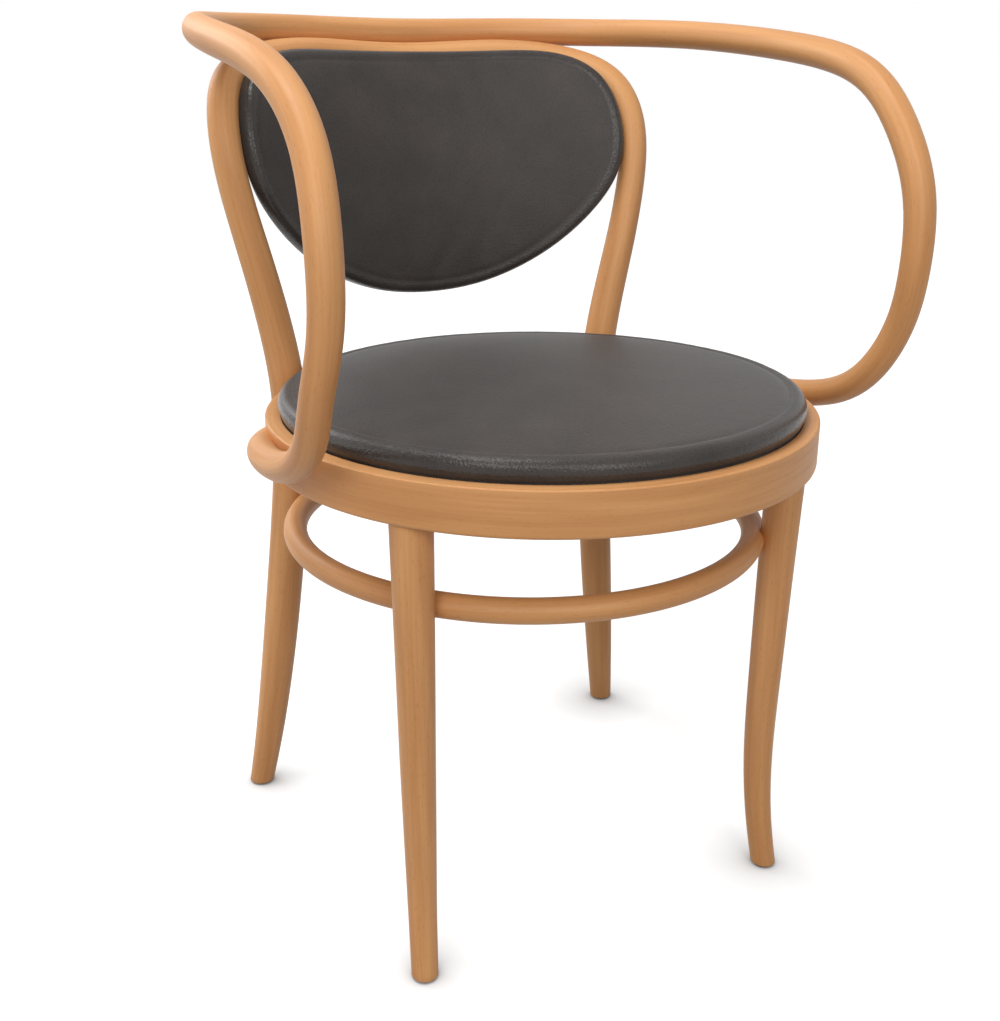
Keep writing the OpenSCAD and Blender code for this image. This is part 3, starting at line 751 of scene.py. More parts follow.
@dataclass
class Bentwood:
    """The beech: seat ring, legs, back frame, arm bow and stretcher hoop."""

    seat: Seat
    sweep: RodSweep
    finishes: Finishes
    ring_w: float = 45 * MM
    rim_w: float = 13 * MM
    rebate_h: float = 12 * MM
    ring_edge_r: float = 3 * MM
    top_edge_share: float = 0.5
    inner_edge_share: float = 0.25
    ring_edge_step: int = 15
    ring_turns: int = 360
    front_leg_r: float = 16.9 * MM
    front_leg_angle: float = 55.0
    rear_leg_r: float = 16.5 * MM
    leg_let_in: float = 3 * MM
    loop_r: float = 14 * MM
    rail_angle: float = 31.0
    arm_r: float = 12.7 * MM
    rail_r_share: float = 1.05
    arm_reach: float = 172 * MM
    arm_clear: float = 3.3 * MM
    rail_rise: float = 322 * MM
    back_overhang: float = 92 * MM
    rest_gap: float = 0.3 * MM
    hoop_r: float = 10.4 * MM
    hoop_drop: float = 78 * MM
    hoop_turns: int = 240
    glide_h: float = 2 * MM
    foot_overrun: float = 25 * MM
    foot_edge: float = 0.6 * MM
    foot_edge_steps: int = 2
    rod_sides: int = 48
    route_steps: int = 14
    rear_seat_y_share: float = 0.7345
    front_leg_shares: Shares = (
        (1.000, 1.083, 0.000, 0.663),
        (0.982, 1.001, 0.122, 0.698),
        (0.974, 0.960, 0.282, 0.775),
        (0.982, 0.968, 0.482, 0.852),
        (0.988, 0.980, 0.722, 0.923),
        (1.000, 1.000, 1.000, 1.000),
    )
    rear_leg_shares: Shares = (
        (0.837, 0.873, 0.000, 0.727),
        (0.801, 0.839, 0.136, 0.848),
        (0.769, 0.813, 0.282, 0.952),
        (0.736, 0.791, 0.447, 1.030),
        (0.704, 0.769, 0.631, 1.048),
        (0.676, 0.749, 0.824, 1.030),
        (0.668, 0.733, 1.008, 0.988),
    )
    loop_shares: Shares = (
        (0.716, -0.013, 0.236, 1.107),
        (0.773, -0.021, 0.430, 1.043),
        (0.821, 0.021, 0.592, 0.993),
        (0.849, 0.073, 0.737, 0.979),
        (0.841, 0.184, 0.859, 0.979),
        (0.793, 0.372, 0.948, 0.986),
        (0.656, 0.633, 0.997, 0.993),
        (0.398, 0.880, 1.020, 0.993),
        (0.000, 1.060, 0.990, 1.000),
    )
    arm_shares: Shares = (
        (0.817, 0.223, 0.001, 0.945),
        (0.968, 0.128, 0.004, 0.945),
        (0.996, -0.174, 0.017, 0.945),
        (1.000, -0.535, 0.060, 0.945),
        (0.996, -0.767, 0.145, 0.945),
        (1.012, -0.901, 0.274, 0.930),
        (0.988, -0.988, 0.408, 0.960),
        (0.992, -0.988, 0.607, 1.000),
        (0.976, -0.826, 0.778, 1.008),
        (1.004, -0.517, 0.911, 1.008),
        (1.030, 0.067, 0.957, 1.000),
        (0.972, 0.478, 0.994, 1.000),
        (0.805, 0.784, 1.000, 1.024),
        (0.490, 0.960, 1.007, 1.039),
        (0.000, 1.020, 0.9965, 1.055),
    )

    def __post_init__(self) -> None:
        """Works out the places that the routes share."""
        seat = self.seat
        self.mid_z = (seat.ring_z + seat.top_z) / 2
        self.rebate_r = seat.ring_r - self.rim_w
        self.ledge_z = seat.top_z - self.rebate_h
        self.rear_seat_r = seat.ring_r + self.rear_leg_r - self.leg_let_in
        self.rear_seat_y = self.rear_seat_r * self.rear_seat_y_share
        rail_r = self.arm_r * self.rail_r_share
        self.rail_y = seat.ring_r + self.back_overhang - rail_r
        self.rail_z = seat.top_z + self.rail_rise - rail_r
        reach = rail_r + self.loop_r + self.rest_gap
        lean = math.radians(self.rail_angle)
        self.loop_y = self.rail_y - reach * math.sin(lean)
        self.loop_z = self.rail_z - reach * math.cos(lean)
        self.hoop_z = seat.ring_z - self.hoop_drop

    def on_seat(self, route: np.ndarray) -> np.ndarray:
        """Moves a route from the seat's middle to its place in the frame."""
        moved = route.copy()
        moved[:, 1] += self.seat.y
        return moved

    def front_route(self) -> np.ndarray:
        """Route of the left front leg, from its glide to the ring, about the seat's middle."""
        reach = self.seat.ring_r - self.ring_w / 2
        angle = math.radians(self.front_leg_angle)
        x, y = reach * math.sin(angle), -reach * math.cos(angle)
        s = np.array(self.front_leg_shares)
        low, high = self.glide_h, self.seat.ring_z
        rows = np.c_[
            x * s[:, 0], y * s[:, 1], low + (high - low) * s[:, 2], self.front_leg_r * s[:, 3]
        ]
        return open_route(rows, self.route_steps)

    def back_route(self) -> np.ndarray:
        """Route of the left half of the back frame, from the foot to the loop's top."""
        leg, loop = np.array(self.rear_leg_shares), np.array(self.loop_shares)
        low, high = self.glide_h, self.mid_z
        legs = np.c_[
            self.rear_seat_r * leg[:, 0],
            self.rear_seat_r * leg[:, 1],
            low + (high - low) * leg[:, 2],
            self.rear_leg_r * leg[:, 3],
        ]
        loops = np.c_[
            self.rear_seat_r * loop[:, 0],
            self.rear_seat_y + (self.loop_y - self.rear_seat_y) * loop[:, 1],
            self.mid_z + (self.loop_z - self.mid_z) * loop[:, 2],
            self.loop_r * loop[:, 3],
        ]
        return half_route(np.vstack([legs, loops]), self.route_steps)

    def arm_route(self) -> np.ndarray:
        """Route of the left half of the arm bow, from inside the ring to the rail's middle."""
        s = np.array(self.arm_shares)
        arm_x = self.seat.ring_r + self.arm_clear + self.arm_r
        reach = np.where(s[:, 1] < 0, self.arm_reach, self.rail_y)
        rows = np.c_[
            arm_x * s[:, 0],
            reach * s[:, 1],
            self.mid_z + (self.rail_z - self.mid_z) * s[:, 2],
            self.arm_r * s[:, 3],
        ]
        return half_route(rows, self.route_steps)

    def past_foot(self, route: np.ndarray) -> np.ndarray:
        """Lengthens a route straight down past its foot, so that it can be cut level."""
        way = route[0] - route[1]
        extra = route[0] + way * (self.foot_overrun / abs(way[2]))
        extra[3] = route[0, 3]
        return np.vstack([extra, route[1:]])

    def cut_feet(self, piece: bpy.types.Object) -> None:
        """Ends a leg level on top of its glide and breaks the sharp edge."""
        work = bmesh.new()
        work.from_mesh(piece.data)
        level = self.glide_h
        low = [v for v in work.verts if v.co.z < level]
        for vert in low:
            others = (edge.other_vert(vert) for edge in vert.link_edges)
            upper = next(v for v in others if v.co.z > level)
            vert.co = vert.co.lerp(upper.co, (level - vert.co.z) / (upper.co.z - vert.co.z))
        feet = set(low)
        rim = [e for e in work.edges if e.verts[0] in feet and e.verts[1] in feet]
        bmesh.ops.bevel(
            work,
            geom=rim,
            offset=self.foot_edge,
            segments=self.foot_edge_steps,
            affect="EDGES",
            profile=0.5,
        )
        bmesh.ops.recalc_face_normals(work, faces=work.faces)
        work.to_mesh(piece.data)
        work.free()
        piece.data.shade_smooth()
        piece.data.set_sharp_from_angle(angle=WOOD_EDGE)

    def hoop_route(self) -> np.ndarray:
        """Circle of the stretcher hoop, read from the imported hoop's box."""
        low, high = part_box("stretcher_hoop")
        reach = (high[0] - low[0]) / 2 - self.hoop_r
        turn = np.linspace(0, 2 * math.pi, self.hoop_turns, endpoint=False)
        return np.c_[
            reach * np.sin(turn),
            (low[1] + high[1]) / 2 + reach * np.cos(turn),
            np.full_like(turn, self.hoop_z),
            np.full_like(turn, self.hoop_r),
        ]

    def ring_section(self) -> np.ndarray:
        """Outline of the seat ring's section as rows of radius and height, anticlockwise."""
        seat, edge = self.seat, self.ring_edge_r
        inner, small = seat.ring_r - self.ring_w, edge * self.inner_edge_share
        rounded = (
            (inner, seat.ring_z, small, 1, 1, 180),
            (seat.ring_r, seat.ring_z, edge, -1, 1, 270),
            (seat.ring_r, seat.top_z, edge * self.top_edge_share, -1, -1, 0),
            (self.rebate_r, seat.top_z, small, 1, -1, 90),
        )
        points = []
        for r, z, round_r, side, rise, start in rounded:
            for turn in range(start, start + 91, self.ring_edge_step):
                a = math.radians(turn)
                across, up = side + math.cos(a), rise + math.sin(a)
                points.append((r + round_r * across, z + round_r * up))
        points += [(self.rebate_r, self.ledge_z), (inner, self.ledge_z)]
        return np.array(points)

    def build_ring(self) -> bpy.types.Object:
        """Makes the seat ring as a closed sweep of its section, with the grain round it."""
        section = self.ring_section()
        count, turns = len(section), self.ring_turns
        verts, grain, faces = [], [], []
        for t in range(turns):
            angle = 2 * math.pi * t / turns
            for r, z in section:
                verts.append((r * math.sin(angle), self.seat.y + r * math.cos(angle), z))
                grain.append((r - self.seat.ring_r, z, angle * self.seat.ring_r))
            for k in range(count):
                a, b = t * count + k, t * count + (k + 1) % count
                c, d = (b + count) % (turns * count), (a + count) % (turns * count)
                faces.append((a, b, c, d))
        mesh = mesh_of("seat_ring_bent", np.array(verts), faces)
        stored = mesh.attributes.new(GRAIN, "FLOAT_VECTOR", "POINT")
        stored.data.foreach_set("vector", np.array(grain, np.float32).ravel())
        face_outwards(mesh)
        mesh.set_sharp_from_angle(angle=WOOD_EDGE)
        return new_piece("seat_ring_bent", mesh)

    def build(self) -> None:
        """Makes every beech piece."""
        self.finishes.place(self.build_ring(), Slot.BEECH, "seat_ring")
        leg = self.past_foot(self.front_route())
        frame = both_halves(self.past_foot(self.back_route()))
        bow = both_halves(self.arm_route())
        for name, node, route, closed in (
            ("front_leg_left_turned", "front_leg_left", self.on_seat(leg), False),
            ("front_leg_right_turned", "front_leg_right", self.on_seat(mirrored(leg)), False),
            ("back_frame_bent", "back_frame", self.on_seat(frame), False),
            ("arm_bow_bent", "arm_bow", self.on_seat(bow), False),
            ("stretcher_hoop_bent", "stretcher_hoop", self.hoop_route(), True),
        ):
            wood = self.finishes.made[Slot.BEECH]
            piece = self.sweep.rod(name, route, self.rod_sides, wood, closed)
            if route[:, 2].min() < self.glide_h:
                self.cut_feet(piece)
            self.finishes.place(piece, Slot.BEECH, node)


@dataclass
class Upholstery:
    """Stuffs a leather form as cloth, so that it has the tight swell and small creases of a pad.

    A remeshed copy of the form is blown up as cloth. How far it moves along its normals is carried
    over to the clean form, scaled down to the few millimetres that upholstery leather gives.
    """

    voxel: float = 5 * MM
    pressure: float = 1.6
    swell: float = 1.6 * MM
    shrink: float = 0.4 * MM
    frames: int = 20
    near: int = 6
    quality: int = 4
    mass: float = 0.4
    stretch_stiffness: float = 40.0
    bend_stiffness: float = 1.5

    def stuff(self, piece: bpy.types.Object, held: np.ndarray) -> None:
        """Swells a closed form.

        Args:
            piece: The closed form, a little smaller than the pad.
            held: For each of its points, whether it is fastened to the board.
        """
        copy = new_piece(f"{piece.name}_cloth", piece.data.copy())
        remesh = copy.modifiers.new("remesh", "REMESH")
        remesh.mode = "VOXEL"
        remesh.voxel_size = self.voxel
        plain_mesh(copy)
        before, normals = mesh_rows(copy.data, "co"), mesh_rows(copy.data, "normal")
        clean = tree_of(mesh_rows(piece.data, "co"))
        pinned = [i for i, place in enumerate(before) if held[clean.find(place)[1]]]
        self.blow_up(copy, pinned)
        way = np.einsum("ij,ij->i", mesh_rows(copy.data, "co") - before, normals)
        LOG.info("%s: the cloth swells %.1f mm at most", piece.name, float(way.max()) / MM)
        way *= min(1.0, self.swell / float(way.max()))
        self.carry_over(piece, tree_of(before), np.maximum(way, -self.shrink), held)
        old = copy.data
        bpy.data.objects.remove(copy)
        bpy.data.meshes.remove(old)

    def blow_up(self, copy: bpy.types.Object, pinned: list[int]) -> None:
        """Runs the cloth on the remeshed copy.

        Args:
            copy: The remeshed copy.
            pinned: Numbers of the points that stay where they are.
        """
        pins = copy.vertex_groups.new(name="pinned")
        pins.add(pinned, 1.0, "REPLACE")
        cloth = copy.modifiers.new("leather", "CLOTH")
        settings = cloth.settings
        settings.quality = self.quality
        settings.mass = self.mass
        settings.tension_stiffness = self.stretch_stiffness
        settings.compression_stiffness = self.stretch_stiffness
        settings.bending_stiffness = self.bend_stiffness
        settings.use_pressure = True
        settings.uniform_pressure_force = self.pressure
        settings.vertex_group_mass = pins.name
        settings.effector_weights.gravity = 0
        cloth.point_cache.frame_start, cloth.point_cache.frame_end = 1, self.frames
        scene = bpy.context.scene
        for number in range(1, self.frames + 1):
            scene.frame_set(number)
        plain_mesh(copy)
        scene.frame_set(1)

    def carry_over(
        self, piece: bpy.types.Object, tree: KDTree, way: np.ndarray, held: np.ndarray
    ) -> None:
        """Moves the clean form's points as far as the cloth near them moved.

        Args:
            piece: The clean form.
            tree: The cloth's points before they moved.
            way: How far each of them moved along its normal.
            held: Which of the clean form's points stay.
        """
        places, normals = mesh_rows(piece.data, "co"), mesh_rows(piece.data, "normal")
        for i, place in enumerate(places):
            if held[i]:
                continue
            found = tree.find_n(place, self.near)
            weights = np.array([1 / (distance + MM) for _, _, distance in found])
            moved = sum(w * way[k] for w, (_, k, _) in zip(weights, found)) / weights.sum()
            places[i] += normals[i] * moved
        piece.data.vertices.foreach_set("co", places.astype(np.float32).ravel())
        piece.data.update()


def ring_faces(rings: int, count: int) -> list[tuple[int, ...]]:
    """Joins rings of points and closes both ends with a pole.

    Args:
        rings: Number of rings.
        count: Points in each ring. Vertex 0 is the first pole and the last vertex the other.

    Returns:
        The faces.
    """
    faces = [(0, 1 + (k + 1) % count, 1 + k) for k in range(count)]
    for j in range(rings - 1):
        for k in range(count):
            a, b = 1 + j * count + k, 1 + j * count + (k + 1) % count
            faces.append((a, b, b + count, a + count))
    last = rings * count + 1
    base = last - count
    faces += [(last, base + k, base + (k + 1) % count) for k in range(count)]
    return faces


@dataclass
class SeatPad:
    """The round seat pad: crowned leather over foam, turned under the board in a pleated hem."""

    wood: Bentwood
    finishes: Finishes
    upholstery: Upholstery
    crown: float = 22.8 * MM
    board_t: float = 10 * MM
    hem_w: float = 43 * MM
    hem_tuck: tuple[float, float] = (2 * MM, 6 * MM)
    hem_corner_r: float = 1.8 * MM
    hem_corner_steps: int = 5
    slack: float = 0.8 * MM
    turns: int = 288
    curve_steps: int = 6
    pleats: int = 60
    pleat_steps: int = 8
    pleat_h: float = 0.5 * MM
    # The form goes down past most of the board and is closed below by rings of these shares.
    board_share: float = 0.8
    below_shares: tuple[float, ...] = (0.3, 0.6, 0.85, 0.97, 1.0)
    wall_shares: tuple[float, ...] = (0.25, 0.5, 0.75, 0.95)
    hem_shares: tuple[float, ...] = (0, 0.25, 0.5, 0.75, 1)
    # The side bulges over the ring, and a shallow crease runs round where the side meets the top.
    crown_shares: Shares = (
        (1.000, 0.00),
        (1.008, 0.12),
        (1.014, 0.30),
        (1.013, 0.50),
        (1.006, 0.68),
        (0.990, 0.82),
        (0.972, 0.865),
        (0.956, 0.855),
        (0.946, 0.82),
        (0.938, 0.84),
        (0.922, 0.87),
        (0.880, 0.895),
        (0.700, 0.95),
        (0.400, 0.99),
        (0.150, 1.00),
        (0.000, 1.00),
    )

    def __post_init__(self) -> None:
        """Works out the pad's place in the ring's rebate."""
        self.pad_r = self.wood.rebate_r - self.wood.rest_gap
        self.top_z = self.wood.seat.top_z
        self.board_top = self.wood.ledge_z + LEATHER_T + self.board_t

    def crown_curve(self, drawn_in: float) -> np.ndarray:
        """Profile from the ring's top to the pad's middle.

        Args:
            drawn_in: How far the profile lies inside the pad's surface.

        Returns:
            Rows of radius and height.
        """
        s = np.array(self.crown_shares)
        rows = np.c_[self.pad_r * s[:, 0], self.top_z + self.crown * s[:, 1]]
        line = half_route(rows, self.curve_steps)
        way = unit(np.gradient(line, axis=0))
        inside = line + drawn_in * np.c_[-way[:, 1], way[:, 0]]
        inside[-1, 0] = 0
        return inside

    def revolve(self, profile: np.ndarray, low_pole: float, high_pole: float) -> bpy.types.Mesh:
        """Turns a profile round the seat's middle into a closed form.

        Args:
            profile: Rows of radius and height, from the bottom to the top.
            low_pole: Height of the form's middle below.
            high_pole: Height of the form's middle on top.

        Returns:
            The mesh.
        """
        turn = np.linspace(0, 2 * math.pi, self.turns, endpoint=False)
        verts = [(0, self.wood.seat.y, low_pole)]
        for r, z in profile:
            verts += [(r * math.sin(a), self.wood.seat.y + r * math.cos(a), z) for a in turn]
        verts.append((0, self.wood.seat.y, high_pole))
        mesh = mesh_of("seat_pad", np.array(verts), ring_faces(len(profile), self.turns))
        face_outwards(mesh)
        return mesh

    def build_cushion(self) -> bpy.types.Object:
        """Makes the crowned pad, whose side reaches down round the board inside the ring."""
        upper = self.crown_curve(self.slack)[:-1]
        side = self.pad_r - LEATHER_T / 4
        low = self.board_top - self.board_t * self.board_share
        below = [(side * s, low) for s in self.below_shares]
        walls = [(side, low + (self.top_z - low) * s) for s in self.wall_shares]
        top = self.top_z + self.crown - self.slack
        profile = np.vstack([below, walls, upper])
        cushion = new_piece("seat_pad", self.revolve(profile, low, top))
        self.upholstery.stuff(cushion, mesh_rows(cushion.data, "co")[:, 2] < self.top_z + MM)
        normals = mesh_rows(cushion.data, "normal")
        note_stretch(cushion.data, np.hypot(normals[:, 0], normals[:, 1]))
        return cushion

    def build_hem(self) -> bpy.types.Object:
        """Makes the leather's skirt down the board's edge and its pleated hem below."""
        outer, z, corner = self.pad_r, self.wood.ledge_z, self.hem_corner_r
        line = [(outer, self.top_z - tuck) for tuck in self.hem_tuck] + [(outer, z + corner)]
        for k in range(1, self.hem_corner_steps):
            a = math.radians(90 * k / self.hem_corner_steps)
            line.append((outer - corner + corner * math.cos(a), z + corner - corner * math.sin(a)))
        line += [(outer - corner - (self.hem_w - corner) * s, z) for s in self.hem_shares]
        section = np.array(line)
        way = unit(np.gradient(section, axis=0))
        inside = section + LEATHER_T * np.c_[way[:, 1], -way[:, 0]]
        loop = np.vstack([section, inside[::-1]])
        count, turns = len(loop), self.pleats * self.pleat_steps
        verts, faces = [], []
        for j in range(turns):
            a = 2 * math.pi * j / turns
            wave = (1 - math.cos(self.pleats * a)) / 2 * self.pleat_h
            for r, h in loop:
                depth = min(1.0, max(0.0, (outer - corner - r) / self.hem_w))
                lift = wave * depth
                verts.append((r * math.sin(a), self.wood.seat.y + r * math.cos(a), h + lift))
            for k in range(count):
                p, q = j * count + k, j * count + (k + 1) % count
                faces.append((p, q, (q + count) % (turns * count), (p + count) % (turns * count)))
        mesh = mesh_of("seat_pad_hem", np.array(verts), faces)
        face_outwards(mesh)
        mesh.set_sharp_from_angle(angle=FOLD_EDGE)
        return new_piece("seat_pad_hem", mesh)

    def build(self) -> None:
        """Makes the seat pad in place of the CAD's foam and leather."""
        cushion, hem = self.build_cushion(), self.build_hem()
        self.finishes.place(cushion, Slot.LEATHER, "seat_foam")
        self.finishes.place(hem, Slot.LEATHER, "seat_cover")


@dataclass
class BackPad:
    """The back pad: a board bent to the loop, foam and leather in front, plain leather behind."""

    wood: Bentwood
    finishes: Finishes
    upholstery: Upholstery
    seat_crown: float
    lift: float = 37.2 * MM
    rise: float = 7 * MM
    edge_t: float = 18 * MM
    crown: float = 4 * MM
    bow: float = 8 * MM
    side_gap: float = 2 * MM
    layer_gap: float = 0.1 * MM
    slack: float = 0.6 * MM
    # The roll is squarer than round, and the face dips a little inside it. The leather is held
    # behind the roll, up to the angle where it leaves the board.
    roll_square: float = 1.35
    roll_dip: float = 0.35 * MM
    roll_step: int = 10
    held_angle: int = -30
    rear_edge_step: int = 30
    middle_share: float = 0.55
    shoulder_share: float = 0.6
    top_bend_share: float = 1.04
    low_bend_share: float = 0.91
    slope_share: float = 0.465
    outline_steps: int = 16
    dip_shares: Shares = ((0.988, 0.5), (0.976, 1.0), (0.964, 0.9))
    dip_fade: int = 8
    face_shares: tuple[float, ...] = (
        0.95, 0.92, 0.88, 0.84, 0.79, 0.74, 0.68, 0.62,
        0.55, 0.48, 0.41, 0.34, 0.27, 0.2, 0.13, 0.06,
    )
    outline_shares: Shares = (
        (0.000, -0.010),
        (0.293, 0.020),
        (0.581, 0.135),
        (0.818, 0.306),
        (0.996, 0.512),
        (1.011, 0.749),
        (0.928, 0.927),
        (0.708, 1.008),
        (0.368, 0.995),
        (0.000, 0.991),
    )

    def __post_init__(self) -> None:
        """Works out the pad's place and bend from the loop that carries it."""
        wood = self.wood
        self.z = wood.seat.top_z + self.seat_crown + self.lift
        self.h = wood.loop_z + self.rise - self.z
        self.roll_r = self.edge_t / 2
        self.back_d = self.roll_r + self.layer_gap + LEATHER_T
        self.hang_y = wood.loop_y - wood.loop_r - self.back_d - wood.rest_gap
        route = wood.back_route()
        upper = route[-3 * wood.route_steps :]
        shoulder_x = wood.rear_seat_r * self.shoulder_share
        order = np.argsort(upper[:, 0])
        shoulder_y = float(np.interp(shoulder_x, upper[order, 0], upper[order, 1]))
        sag = wood.loop_y - shoulder_y
        self.loop_bend_r = (shoulder_x**2 + sag**2) / (2 * sag)
        self.slope = (
            self.slope_share * (wood.loop_y - wood.rear_seat_y) / (wood.loop_z - wood.mid_z)
        )
        widest = float(route[route[:, 2] > wood.mid_z][:, 0].max())
        side_x = widest - wood.loop_r - self.side_gap
        middle_r = float(self.bend_r(np.array(self.z + self.h / 2)))
        self.half_w = middle_r * math.asin(side_x / middle_r)

    def bend_r(self, z: np.ndarray) -> np.ndarray:
        """Radius of the pad's bend at a height."""
        share = (z - self.z) / self.h
        return self.loop_bend_r * (
            self.low_bend_share + (self.top_bend_share - self.low_bend_share) * share
        )

    def at(self, u: np.ndarray, z: np.ndarray, d: np.ndarray) -> np.ndarray:
        """Place of points on the bent pad.

        Args:
            u: Way round the bend from the middle.
            z: Heights.
            d: Distances in front of the pad's middle surface.

        Returns:
            Rows of x, y, z in the frame.
        """
        r = self.bend_r(z)
        a = u / r
        t = (z - self.z - self.h / 2) / (self.h / 2)
        lean = self.slope + 2 * self.bow * t / (self.h / 2)
        y = self.hang_y - (self.wood.loop_z - z) * self.slope - self.bow * (1 - t**2)
        y = y - r * (1 - np.cos(a)) + self.wood.seat.y
        way = unit(np.stack([-np.sin(a), -np.cos(a), lean * np.cos(a)], axis=-1))
        return np.stack([r * np.sin(a), y, z], axis=-1) + way * np.asarray(d)[..., None]

    def outline(self) -> tuple[np.ndarray, np.ndarray]:
        """Closed outline of the pad, unrolled flat, and its outward directions."""
        s = np.array(self.outline_shares)
        rows = np.c_[self.half_w * s[:, 0], self.z + self.h * s[:, 1]]
        half = bend(np.vstack([mirrored(rows[1]), rows, mirrored(rows[-2])]), self.outline_steps)
        line = np.vstack([half, mirrored(half)[::-1][1:-1]])
        way = unit(np.roll(line, -1, axis=0) - np.roll(line, 1, axis=0))
        return line, np.c_[way[:, 1], -way[:, 0]]

    def closed_form(self, name: str, rings: list[tuple[float, float, float]]) -> bpy.types.Object:
        """Makes a closed form of rings that follow the outline.

        Args:
            name: The piece's name.
            rings: For each ring its inset, its share of the way from the middle, and its depth.

        Returns:
            The piece.
        """
        line, out = self.outline()
        centre = np.array([0.0, self.z + self.h * self.middle_share])
        sets = []
        for inset, share, depth in rings:
            flat = centre + (line - inset * out - centre) * share
            sets.append(self.at(flat[:, 0], flat[:, 1], np.full(len(flat), depth)))
        poles = [self.at(*np.array([[*centre, d]]).T) for d in (rings[0][2], rings[-1][2])]
        verts = np.vstack([poles[0], *sets, poles[1]])
        mesh = mesh_of(name, verts, ring_faces(len(rings), len(line)))
        face_outwards(mesh)
        return new_piece(name, mesh)

    def build_front(self) -> bpy.types.Object:
        """Makes the padded front with its rolled edge."""
        r, faces = self.roll_r, self.face_shares
        behind = [(r, f, -r) for f in faces[::-1]]
        roll = []
        for angle in range(-90, 91, self.roll_step):
            across, up = math.cos(math.radians(angle)), math.sin(math.radians(angle))
            across, up = across ** (1 / self.roll_square), abs(up) ** (1 / self.roll_square)
            roll.append((r - (r - self.slack) * across, 1.0, math.copysign(r * up, angle)))
        face = [(r, f, r - self.roll_dip * s) for f, s in self.dip_shares]
        face += [
            (r, f, r + self.crown * (1 - f * f) - self.roll_dip * f**self.dip_fade) for f in faces
        ]
        front = self.closed_form("back_pad", behind + roll + face)
        count = len(self.outline()[0])
        held_rolls = (self.held_angle + 90) // self.roll_step + 1
        held = np.zeros(len(front.data.vertices), bool)
        held[: 1 + count * (len(behind) + held_rolls)] = True
        self.upholstery.stuff(front, held)
        stretched = np.zeros(len(held))
        stretched[: 1 + count * (len(behind) + len(roll))] = 1.0
        note_stretch(front.data, stretched)
        return front

    def build_rear(self) -> bpy.types.Object:
        """Makes the rear leather: a thin panel with a turned edge."""
        inset, faces, edge = self.roll_r, self.face_shares, LEATHER_T / 2
        low, high = self.roll_r + self.layer_gap, self.back_d
        rings = [(inset, f, -low) for f in faces[::-1]]
        for angle in range(-90, 91, self.rear_edge_step):
            a = math.radians(angle)
            depth = -(low + high) / 2 - edge * math.sin(a)
            rings.append((inset + edge - edge * math.cos(a), 1.0, depth))
        rings += [(inset, f, -high) for f in faces]
        rear = self.closed_form("back_pad_rear", rings)
        rear.data.set_sharp_from_angle(angle=FOLD_EDGE)
        return rear

    def build(self) -> None:
        """Makes the back pad in place of the CAD's foam and leathers."""
        front, rear = self.build_front(), self.build_rear()
        self.finishes.place(front, Slot.LEATHER, "back_foam", "back_cover")
        self.finishes.place(rear, Slot.LEATHER, "back_rear_cover")


SLOT_NODES: dict[Slot, tuple[str, ...]] = {
    Slot.BEECH: (
        "seat_ring", "front_leg_left", "front_leg_right", "back_frame", "arm_bow", "stretcher_hoop"
    ),
    Slot.PLYWOOD: ("seat_board", "back_board"),
    Slot.FOAM: ("seat_foam", "back_foam"),
    Slot.LEATHER: ("seat_cover", "back_cover", "back_rear_cover"),
    Slot.STEEL: (
        "seat_cover_staples",
        "back_pad_screws",
        "seat_board_screws",
        "rear_leg_bolts",
        "rear_leg_washers",
        "rear_leg_nuts",
        "arm_end_screws",
        "arm_to_back_screws",
        "hoop_screws",
        "glide_nails",
    ),
    Slot.NYLON: ("foot_glides",),
}


def seen_directly(tree: Tree) -> bpy.types.Node:
    """Tells what the camera sees, also in a gloss or through glass, from what only gives light.

    Args:
        tree: The tree of the floor or the world.

    Returns:
        A node that gives 1 for camera, glossy and transmission rays.
    """
    path = tree.add("ShaderNodeLightPath")
    seen = path.outputs["Is Camera Ray"]
    for ray in ("Is Glossy Ray", "Is Transmission Ray"):
        seen = tree.add("ShaderNodeMath", {0: seen, 1: path.outputs[ray]}, operation="MAXIMUM")
    return seen


@dataclass(frozen=True)
class Lamp:
    """A soft square lamp, aimed at the chair's middle."""

    name: str
    place: tuple[float, float, float]
    size: float
    power: float


